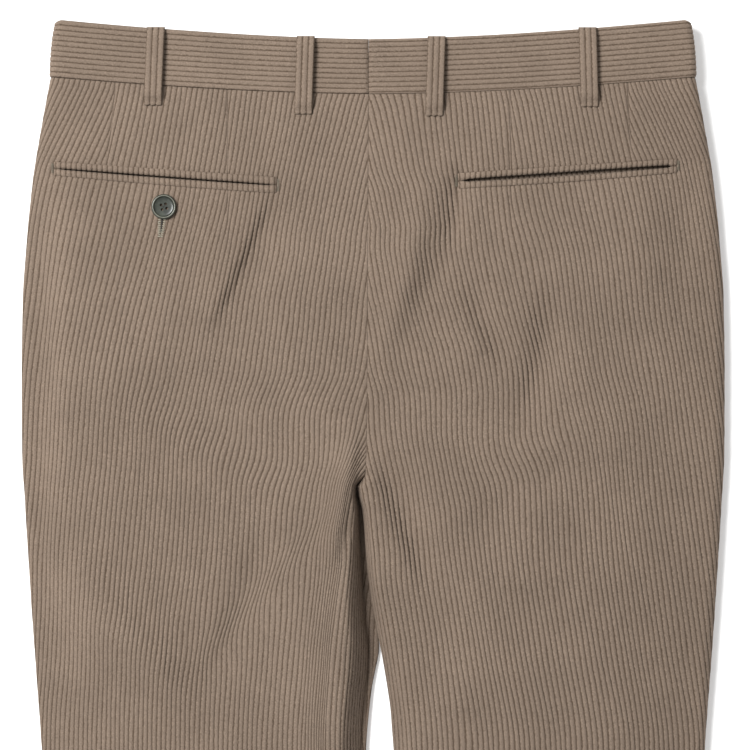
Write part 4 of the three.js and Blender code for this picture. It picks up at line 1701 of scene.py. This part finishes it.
@dataclass
class Welt:
    """One folded lip of a back pocket, its short cords running up and down."""

    pocket: PocketLine
    upper: bool
    flat: tuple[float, float] = (0.010, 0.146)
    rows: int = 9
    inset: float = 0.3
    first_cord: float = 0.4
    # How high the ribs stand, and how deep the ends go down, over how far
    rib_share: float = 0.9
    end_dive: float = 0.8
    end_run: float = 0.8
    under: float = 0.2
    proud: float = 0.75
    tuck: float = 0.9
    scallop: float = 1.1
    shut_end: float = 3.6

    @property
    def name(self) -> str:
        """The piece's name."""
        return f"welt_{self.pocket.side.label}_{'upper' if self.upper else 'lower'}"

    def build(self, finish: bpy.types.Material) -> bpy.types.Object:
        """Builds and dresses the welt.

        Args:
            finish: The cloth's material.

        Returns:
            The finished object.
        """
        ends = np.sort([self.pocket.side_end[0], self.pocket.inner_end[0]])
        counts, heights = CORD.across(0, int((ends[1] - ends[0] - 2 * self.inset) / CORD.pitch))
        shift = self.first_cord * CORD.pitch
        cord_line = ends[0] + self.inset + shift + counts * CORD.pitch
        inside = cord_line[cord_line < ends[1] - 1.2]
        x_line = np.concatenate([[ends[0] + self.inset], inside, [ends[1] - self.inset]])
        relief = np.interp(x_line, cord_line, heights)
        lower, top = self.pocket.bounds(x_line)
        middle = 0.5 * (lower + top)
        bulge = 0.5 + 0.5 * np.sin(math.pi * np.clip(self.pocket.share(x_line), 0, 1)) ** 0.6
        shut = smooth((np.minimum(x_line - ends[0], ends[1] - x_line) - self.shut_end) / 2.5)
        gape = 0.5 * self.pocket.mouth * bulge * shut
        scallop = self.scallop * (relief - relief.mean()) * shut
        seam, lip = (top, middle + gape - scallop) if self.upper else (lower, middle - gape + scallop)
        t = (1 - np.cos(np.linspace(0, math.pi, self.rows))) / 2
        y = mix(seam[None, :], lip[None, :], t[:, None])
        x = np.broadcast_to(x_line, y.shape)
        side_y = FORM.side_height(x, y, Face.BACK)
        panel = FORM.back_height(self.pocket.side, x, side_y)
        round_lip = np.sqrt(np.clip(1 - ((t - 0.45) / 0.55) ** 2, 0, 1))[:, None]
        from_end = np.minimum(x - ends[0], ends[1] - x)
        full = (0.25 + 0.75 * np.sin(math.pi * t) ** 0.5)[:, None]
        ribs = relief[None, :] * full * smooth(from_end / 1.5)
        crown = self.proud * round_lip - self.tuck * (1 - round_lip)
        z = panel + crown + self.rib_share * ribs - self.end_dive * np.exp(-from_end / self.end_run)
        low = panel - FORM.wall - self.under
        if not self.upper:
            x, y, z, low = (a[::-1] for a in (x, y, z, low))
        picks = np.ix_(picked(self.rows, self.rows - 1), picked(len(x_line), 4))
        inner = np.stack([x, y, low], axis=2)[picks]
        count = ((x_line - shift - ends[0] - self.inset) / CORD.pitch)[None, :]
        piece = Shell(f"{self.name}_cloth").wrap(
            Sheet(np.stack([x, y, z], axis=2), np.stack(np.broadcast_arrays(count, y / CORD.pitch), axis=2)),
            Sheet(inner, np.zeros((*inner.shape[:2], 2))),
            True,
        )
        under = f"back_{self.pocket.side.label}_cloth"
        dress(piece, finish, "corduroy", self.name, cut=Cut(*self.flat, under, self.pocket.welt_area))
        return piece


@dataclass(frozen=True)
class StitchRow:
    """The sizes of one kind of stitch, in millimetres."""

    name: str
    spacing: float
    length: float
    width: float
    turn: float = 0.0
    unevenness: float = 0.08
    seed: int = 5

    def values(self) -> tuple[float, ...]:
        """The tree's sizes, in metres and radians."""
        return self.spacing * MM, self.length * MM, self.width * MM, self.turn, self.unevenness


class StitchTree:
    """Geometry Nodes that set one stitch, or one zip tooth, at each step along paths."""

    SIZES = ("Spacing", "Length", "Width", "Turn", "Unevenness")

    def __init__(self) -> None:
        """Builds the node tree with its named inputs."""
        self.tree = bpy.data.node_groups.new("stitch_rows", "GeometryNodeTree")
        face = self.tree.interface
        face.new_socket(name="Paths", in_out="INPUT", socket_type="NodeSocketGeometry")
        for name in self.SIZES:
            face.new_socket(name=name, in_out="INPUT", socket_type="NodeSocketFloat")
        face.new_socket(name="Seed", in_out="INPUT", socket_type="NodeSocketInt")
        face.new_socket(name="Thread", in_out="INPUT", socket_type="NodeSocketMaterial")
        face.new_socket(name="Stitches", in_out="OUTPUT", socket_type="NodeSocketGeometry")
        nodes = Nodes(self.tree)
        given = nodes.add("NodeGroupInput").outputs
        lines = nodes.add("GeometryNodeMeshToCurve", {0: given["Paths"]}).outputs[0]
        spaced = {"Curve": lines, "Length": given["Spacing"]}
        steps = nodes.add("GeometryNodeResampleCurve", spaced, mode="LENGTH")
        ball = nodes.add("GeometryNodeMeshUVSphere", {"Segments": 7, "Rings": 5, "Radius": 0.5}).outputs[0]
        sizes = {0: given["Length"], 1: given["Width"], 2: given["Width"]}
        size = nodes.add("ShaderNodeCombineXYZ", sizes).outputs[0]
        stitch = nodes.add("GeometryNodeTransform", {"Geometry": ball, "Scale": size}).outputs[0]
        along = nodes.add("GeometryNodeInputTangent").outputs[0]
        aim = nodes.add("FunctionNodeAlignRotationToVector", {"Vector": along}, axis="X").outputs[0]
        less = nodes.math("MULTIPLY", given["Unevenness"], -1.0)
        chance = {2: less, 3: given["Unevenness"], 8: given["Seed"]}
        odd = nodes.add("FunctionNodeRandomValue", chance, data_type="FLOAT").outputs[1]
        angle = nodes.math("MULTIPLY_ADD", odd, 2.0, given["Turn"])
        turn = nodes.add("ShaderNodeCombineXYZ", {2: angle}).outputs[0]
        turned = nodes.add("FunctionNodeEulerToRotation", {0: turn}).outputs[0]
        both = {0: aim, 1: turned}
        facing = nodes.add("FunctionNodeRotateRotation", both, rotation_space="LOCAL").outputs[0]
        grown = nodes.math("ADD", odd, 1.0)
        inputs = {"Points": steps.outputs[0], "Instance": stitch, "Rotation": facing, "Scale": grown}
        placed = nodes.add("GeometryNodeInstanceOnPoints", inputs).outputs[0]
        solid = nodes.add("GeometryNodeRealizeInstances", {0: placed}).outputs[0]
        soft = nodes.add("GeometryNodeSetShadeSmooth", {"Geometry": solid}).outputs[0]
        finished = {"Geometry": soft, "Material": given["Thread"]}
        nodes.add("NodeGroupOutput", {0: nodes.add("GeometryNodeSetMaterial", finished).outputs[0]})

    def set_row(self, row: StitchRow, paths: list[Array], thread: bpy.types.Material) -> bpy.types.Object:
        """Sets stitches along paths.

        Args:
            row: The stitches' sizes.
            paths: Points of each path, in millimetres.
            thread: The finish.

        Returns:
            The finished object, a plain mesh.
        """
        mesh = bpy.data.meshes.new(row.name)
        edges, first = [], 0
        for points in paths:
            edges += [(first + i, first + i + 1) for i in range(len(points) - 1)]
            first += len(points)
        mesh.from_pydata((np.concatenate(paths) * MM).tolist(), edges, [])
        piece = add_object(row.name, mesh)
        modifier = piece.modifiers.new("stitches", "NODES")
        modifier.node_group = self.tree
        values = dict(zip(self.SIZES, row.values()), Seed=row.seed, Thread=thread)
        for item in self.tree.interface.items_tree:
            if item.name in values:
                modifier[item.identifier] = values[item.name]
        apply_modifier(piece, modifier)
        return piece


@dataclass
class Button:
    """A turned four-hole button, sewn flat on the cloth."""

    name: str
    centre: tuple[float, float]
    face: Face
    turn: float
    sides: int = 72
    hole: float = 0.95
    pitch: float = 1.5
    clearance: float = 0.36
    thread_height: float = 1.55
    drill_sides: int = 16
    drill_ends: tuple[float, float] = (-1.0, 4.0)
    sharp_angle: float = 42.0
    # Radius and height from the middle below to the middle above, and the widest of them
    widest: int = 4
    profile: tuple[tuple[float, float], ...] = (
        (0.0, 0.0),
        (6.6, 0.0),
        (7.5, 0.25),
        (8.0, 0.8),
        (8.15, 1.5),
        (8.05, 2.2),
        (7.8, 2.7),
        (7.4, 2.95),
        (7.0, 2.97),
        (6.65, 2.8),
        (6.4, 2.4),
        (6.25, 2.05),
        (6.0, 1.85),
        (5.6, 1.75),
        (4.4, 1.68),
        (2.6, 1.62),
        (0.0, 1.6),
    )

    def to_place(self) -> Callable[[Array], Array]:
        """Gives the function that lays points of the upright button on the cloth, as it is sewn.

        Returns:
            The function.
        """
        x, y = self.centre
        if self.face is Face.BACK:
            side_y = FORM.side_height(np.array(x), np.array(y), self.face)
            reach = self.profile[self.widest][0]

            def lie(dx: float, dy: float) -> float:
                """Height of the cloth beside the button's middle."""
                return float(FORM.back_height(Side.LEFT, np.array(x + dx), side_y + dy))

            seat = lie(0, 0) + self.clearance
            normal = np.array([lie(-reach, 0) - lie(reach, 0), lie(0, -reach) - lie(0, reach), 2 * reach])
        else:
            seat = BAND.front - BAND.overlap_drop - self.clearance
            normal = np.array([0.0, 0.0, -1.0])
        up = normal / np.linalg.norm(normal)
        right = np.cross([0.0, 1.0, 0.0], up)
        right /= np.linalg.norm(right)
        ahead = np.cross(up, right)
        c, s = math.cos(self.turn), math.sin(self.turn)
        frame = np.stack([c * right + s * ahead, c * ahead - s * right, up])
        return lambda points: points @ frame + np.array([x, y, seat])

    def disc(self) -> bpy.types.Object:
        """Turns the profile into a closed disc, with the share of its radius in its map.

        Returns:
            The undrilled button.
        """
        angles = np.arange(self.sides) * 2 * math.pi / self.sides
        rings = self.profile[1:-1]
        points = [[0.0, 0.0, self.profile[0][1]]]
        points += [[r * math.cos(a), r * math.sin(a), z] for r, z in rings for a in angles]
        points.append([0.0, 0.0, self.profile[-1][1]])
        places = self.to_place()(np.array(points)) * MM
        faces, last = [], len(points) - 1
        for i in range(self.sides):
            j = (i + 1) % self.sides
            faces.append((0, 1 + j, 1 + i))
            for ring in range(len(rings) - 1):
                low, high = 1 + ring * self.sides, 1 + (ring + 1) * self.sides
                faces.append((low + i, low + j, high + j, high + i))
            top = last - self.sides
            faces.append((top + i, top + j, last))
        mesh = bpy.data.meshes.new(self.name)
        mesh.from_pydata(places.tolist(), [], faces)
        out = [math.hypot(px, py) / self.profile[self.widest][0] for px, py, _ in points]
        layer = mesh.uv_layers.new(name=UV_NAME)
        for loop in mesh.loops:
            layer.data[loop.index].uv = (out[loop.vertex_index], 0.5)
        return add_object(f"{self.name}_horn", mesh)

    def drills(self) -> bpy.types.Object:
        """Makes the four round cutters of the thread holes.

        Returns:
            The cutters, as one object.
        """
        points, faces = [], []
        count = self.drill_sides
        for corner in range(4):
            angle = math.pi / 4 + corner * math.pi / 2
            middle = np.array([math.cos(angle), math.sin(angle)]) * self.pitch * math.sqrt(2)
            first = len(points)
            for z in self.drill_ends:
                for i in range(count):
                    a = 2 * math.pi * i / count
                    ring = (self.hole * math.cos(a), self.hole * math.sin(a))
                    points.append([middle[0] + ring[0], middle[1] + ring[1], z])
            low, high = range(first, first + count), range(first + count, first + 2 * count)
            faces += [tuple(low)[::-1], tuple(high)]
            faces += [(low[i], low[(i + 1) % count], high[(i + 1) % count], high[i]) for i in range(count)]
        mesh = bpy.data.meshes.new("drills")
        mesh.from_pydata((self.to_place()(np.array(points)) * MM).tolist(), [], faces)
        mesh.uv_layers.new(name=UV_NAME)
        return add_object("drills", mesh)

    def threads(self) -> list[Array]:
        """The two crossing strands that hold the button, as paths from hole to hole.

        Returns:
            The points of each strand.
        """
        place = self.to_place()
        rows = []
        for sign in (1, -1):
            share = np.array([-1.0, -0.86, -0.5, 0.0, 0.5, 0.86, 1.0])
            rise = np.array([-1.2, -0.1, 0.05, 0.12 + 0.1 * sign, 0.05, -0.1, -1.2])
            strand = [share * self.pitch, sign * share * self.pitch, self.thread_height + rise]
            rows.append(place(np.stack(strand, axis=1)))
        return rows

    def build(self, finish: bpy.types.Material) -> bpy.types.Object:
        """Turns, drills and dresses the button.

        Args:
            finish: The button's material.

        Returns:
            The finished object.
        """
        piece, cutter = self.disc(), self.drills()
        modifier = piece.modifiers.new("holes", "BOOLEAN")
        modifier.object = cutter
        modifier.operation = "DIFFERENCE"
        modifier.solver = "EXACT"
        apply_modifier(piece, modifier)
        bpy.data.objects.remove(cutter)
        piece.data.polygons.foreach_set("use_smooth", np.ones(len(piece.data.polygons), bool))
        piece.data.set_sharp_from_angle(angle=math.radians(self.sharp_angle))
        dress(piece, finish, "button", self.name)
        return piece


BUTTONS = (
    Button("pocket_button", (-135.2, 408.5), Face.BACK, 0.25),
    Button("waist_button", (8.0, 492.3), Face.FRONT, 0.4),
)


@dataclass
class Sewing:
    """The threads that show: buttonhole, bar tacks, loop ends, fly stitching, and the zip."""

    wardrobe: Wardrobe
    tree: StitchTree = field(default_factory=StitchTree)
    cord_rise: float = 0.3
    tack_inset: float = 0.5
    tape_top: float = 3.5
    # How far the buttonhole's two columns stand from its middle, at its top and its end
    hole_spread: tuple[float, float] = (1.7, 0.8)
    slit_sink: float = 0.8
    hole_line: tuple[tuple[float, float], ...] = ((-136.4, 400.2), (-136.9, 395.0), (-137.4, 389.4))
    fly_line: tuple[tuple[float, float], ...] = (
        (-36, 482),
        (-36, 350),
        (-34, 325),
        (-27, 305),
        (-16, 293),
        (-8, 289),
    )

    def on_back(self, points: Array, side: Side, above: float) -> Array:
        """Lays points x, y on the back's face, a little above it.

        Args:
            points: Rows of x and y.
            side: The left or the right half.
            above: How far above the cloth.

        Returns:
            Rows of x, y and z.
        """
        x, y = points[:, 0], points[:, 1]
        side_y = FORM.side_height(x, y, Face.BACK)
        return np.stack([x, y, FORM.back_height(side, x, side_y) + above], axis=1)

    def hole_middle(self, above_end: float = 0.0) -> tuple[Array, Array]:
        """Places x and heights y down the buttonhole's middle line, to a little above its end.

        Args:
            above_end: How far above the hole's end the line stops.

        Returns:
            Places x and heights y.
        """
        heights = np.linspace(self.hole_line[0][1], self.hole_line[-1][1] + above_end, 12)
        line = np.array(self.hole_line)[::-1]
        return np.interp(heights, line[:, 1], line[:, 0]), heights

    def buttonhole(self) -> bpy.types.Object:
        """Two columns of close stitches beside the slit, drawn together at its lower end.

        Returns:
            The finished object.
        """
        middle, heights = self.hole_middle()
        share = (heights[0] - heights) / (heights[0] - heights[-1])
        apart = mix(*self.hole_spread, share)
        sides = [np.stack([middle + way * apart, heights], axis=1) for way in (-1, 1)]
        paths = [self.on_back(points, Side.LEFT, self.cord_rise + 0.3) for points in sides]
        row = StitchRow("buttonhole_stitches", spacing=1.35, length=2.4, width=0.8, turn=1.45, unevenness=0.2)
        return self.tree.set_row(row, paths, self.wardrobe.hole)

    def slit(self) -> bpy.types.Object:
        """The buttonhole's slit between its stitches: a dark strip sunk below the cloth, painted shade of the
        opening.

        Returns:
            The finished object.
        """
        points = np.stack(self.hole_middle(3.0), axis=1)
        path = self.on_back(points, Side.LEFT, self.cord_rise - self.slit_sink)
        row = StitchRow("buttonhole_slit", spacing=0.5, length=1.2, width=2.2)
        return self.tree.set_row(row, [path], self.wardrobe.slit)

    def tacks(self) -> bpy.types.Object:
        """Short dense bars across the four pocket ends.

        Returns:
            The finished object.
        """
        paths = []
        for pocket in POCKETS.values():
            for end, inward in ((pocket.side_end, -1), (pocket.inner_end, 1)):
                x = end[0] - pocket.side.value * inward * self.tack_inset
                lower, upper = pocket.bounds(np.array([end[0]]))
                y = np.linspace(upper[0] - 1.4, lower[0] + 1.6, 6)
                points = np.stack([np.full(6, x), y], axis=1)
                paths.append(self.on_back(points, pocket.side, self.cord_rise + 0.15))
        sizes = dict(spacing=0.5, length=1.9, width=0.4, turn=1.4, unevenness=0.12)
        row = StitchRow("pocket_bar_tacks", **sizes)
        return self.tree.set_row(row, paths, self.wardrobe.tack)

    def loop_ends(self) -> bpy.types.Object:
        """The stitches across the ends of the belt loops.

        Returns:
            The finished object.
        """
        paths = [loop.stitch_line(share) for loop in LOOPS for share in (0.03, 0.966)]
        row = StitchRow("loop_stitches", spacing=2.4, length=1.5, width=0.5, unevenness=0.12)
        return self.tree.set_row(row, paths, self.wardrobe.seam)

    def fly(self) -> bpy.types.Object:
        """The curved row of stitches that holds the fly, on the hidden front.

        Returns:
            The finished object.
        """
        line = np.array(self.fly_line, float)
        run = np.append(0, np.cumsum(np.hypot(*np.diff(line, axis=0).T)))
        at = np.linspace(0, run[-1], 60)
        x, y = (np.interp(at, run, line[:, k]) for k in (0, 1))
        z = FORM.front_height(Side.LEFT, x, y)
        real_y = y - FORM.dip(x, y, Face.FRONT)
        path = np.stack([x, real_y, np.maximum(z, 0.25)], axis=1)
        row = StitchRow("fly_stitches", spacing=3.0, length=2.3, width=0.5)
        return self.tree.set_row(row, [path], self.wardrobe.tack)

    def teeth(self) -> bpy.types.Object:
        """The zip's teeth, down the middle of its tape.

        Returns:
            The finished object.
        """
        low, high = (np.array(corner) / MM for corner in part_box("zip"))
        y = np.linspace(high[1] - 2, low[1] + 2, 40)
        x = FORM.edge(Side.LEFT, "x", y)
        under = FORM.sections.read("under", y + FORM.dip(x, y + FORM.dip_front, Face.FRONT))
        sizes = dict(spacing=1.5, length=3.2, width=1.0, turn=math.pi / 2, unevenness=0.0)
        row = StitchRow("zip_teeth", **sizes)
        paths = [np.stack([x, y, under + self.tape_top], axis=1)]
        return self.tree.set_row(row, paths, self.wardrobe.tooth)

    tape_top: float = 3.5

    def build(self) -> None:
        """Sews everything and dresses it."""
        wardrobe = self.wardrobe
        dress(self.buttonhole(), wardrobe.hole, "button")
        dress(self.slit(), wardrobe.slit, "button")
        dress(self.tacks(), wardrobe.tack, "corduroy")
        dress(self.loop_ends(), wardrobe.seam, "corduroy")
        dress(self.fly(), wardrobe.tack, "corduroy")
        dress(self.teeth(), wardrobe.tooth, "zip_tape")
        threads = self.tree.set_row(
            StitchRow("button_threads", spacing=0.3, length=0.55, width=0.24, unevenness=0.04),
            [path for button in BUTTONS for path in button.threads()],
            wardrobe.slit,
        )
        dress(threads, wardrobe.slit, "button")


@dataclass
class Stage:
    """The plain floor, the soft light and the camera above the seat."""

    view_width: float = 487.5
    view_centre: tuple[float, float] = (1.3, 299.7)
    lens: float = 150.0
    sensor: float = 36.0
    focus_height: float = 11.0
    # Metres and watts, from here on
    lamp_place: tuple[float, float, float] = (-1.55, 1.2, 2.75)
    lamp_size: float = 1.1
    lamp_power: float = 142.0
    surround: float = 0.45
    floor_size: float = 12.0
    floor_height: float = -0.0004

    def camera(self) -> None:
        """Hangs the camera straight above, as the picture was taken."""
        data = bpy.data.cameras.new("camera")
        data.lens = self.lens
        data.sensor_width = self.sensor
        data.clip_end = 50.0
        camera = bpy.data.objects.new("camera", data)
        bpy.context.scene.collection.objects.link(camera)
        distance = self.view_width * self.lens / self.sensor + self.focus_height
        camera.location = (self.view_centre[0] * MM, self.view_centre[1] * MM, distance * MM)
        bpy.context.scene.camera = camera

    def lamp(self) -> None:
        """Adds a large square lamp that faces the middle of the view."""
        data = bpy.data.lights.new("key", "AREA")
        data.size = self.lamp_size
        data.energy = self.lamp_power
        lamp = bpy.data.objects.new("key", data)
        bpy.context.scene.collection.objects.link(lamp)
        lamp.location = self.lamp_place
        target = np.array([self.view_centre[0] * MM, self.view_centre[1] * MM, 0.0])
        away = np.array(self.lamp_place) - target
        flat = math.hypot(away[0], away[1])
        lamp.rotation_euler = (math.atan2(flat, away[2]), 0.0, math.atan2(away[1], away[0]) + math.pi / 2)

    def build(self) -> None:
        """Sets the floor, the lights, the surrounding light and the camera."""
        bpy.ops.mesh.primitive_plane_add(size=self.floor_size, location=(0, 0, self.floor_height))
        floor = bpy.context.object
        floor.name = "floor"
        floor.data.materials.append(FloorFinish().material())
        self.lamp()
        world = bpy.data.worlds.new("studio")
        bpy.context.scene.world = world
        world.use_nodes = True
        background = world.node_tree.nodes["Background"]
        background.inputs["Color"].default_value = (1.0, 1.0, 1.0, 1.0)
        background.inputs["Strength"].default_value = self.surround
        bpy.context.scene.view_settings.view_transform = "Standard"
        self.camera()


def main() -> None:
    """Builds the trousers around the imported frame, piece by piece."""
    logging.basicConfig(level=logging.INFO, format="%(message)s")
    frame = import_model()
    Stage().build()
    wardrobe = Wardrobe()
    make_panels(wardrobe.cloth)
    for band in (Waistband(Side.LEFT, 0.455), Waistband(Side.RIGHT, 0.44, shift=0.35)):
        band.build(wardrobe.cloth)
    for loop in LOOPS:
        loop.build(wardrobe.cloth)
    for pocket in POCKETS.values():
        for upper in (True, False):
            Welt(pocket, upper).build(wardrobe.cloth)
    for button in BUTTONS:
        button.build(wardrobe.horn)
    Sewing(wardrobe).build()
    frame["nodes"]["zip"].material_slots[0].material = wardrobe.tape


if __name__ == "__main__":
    main()
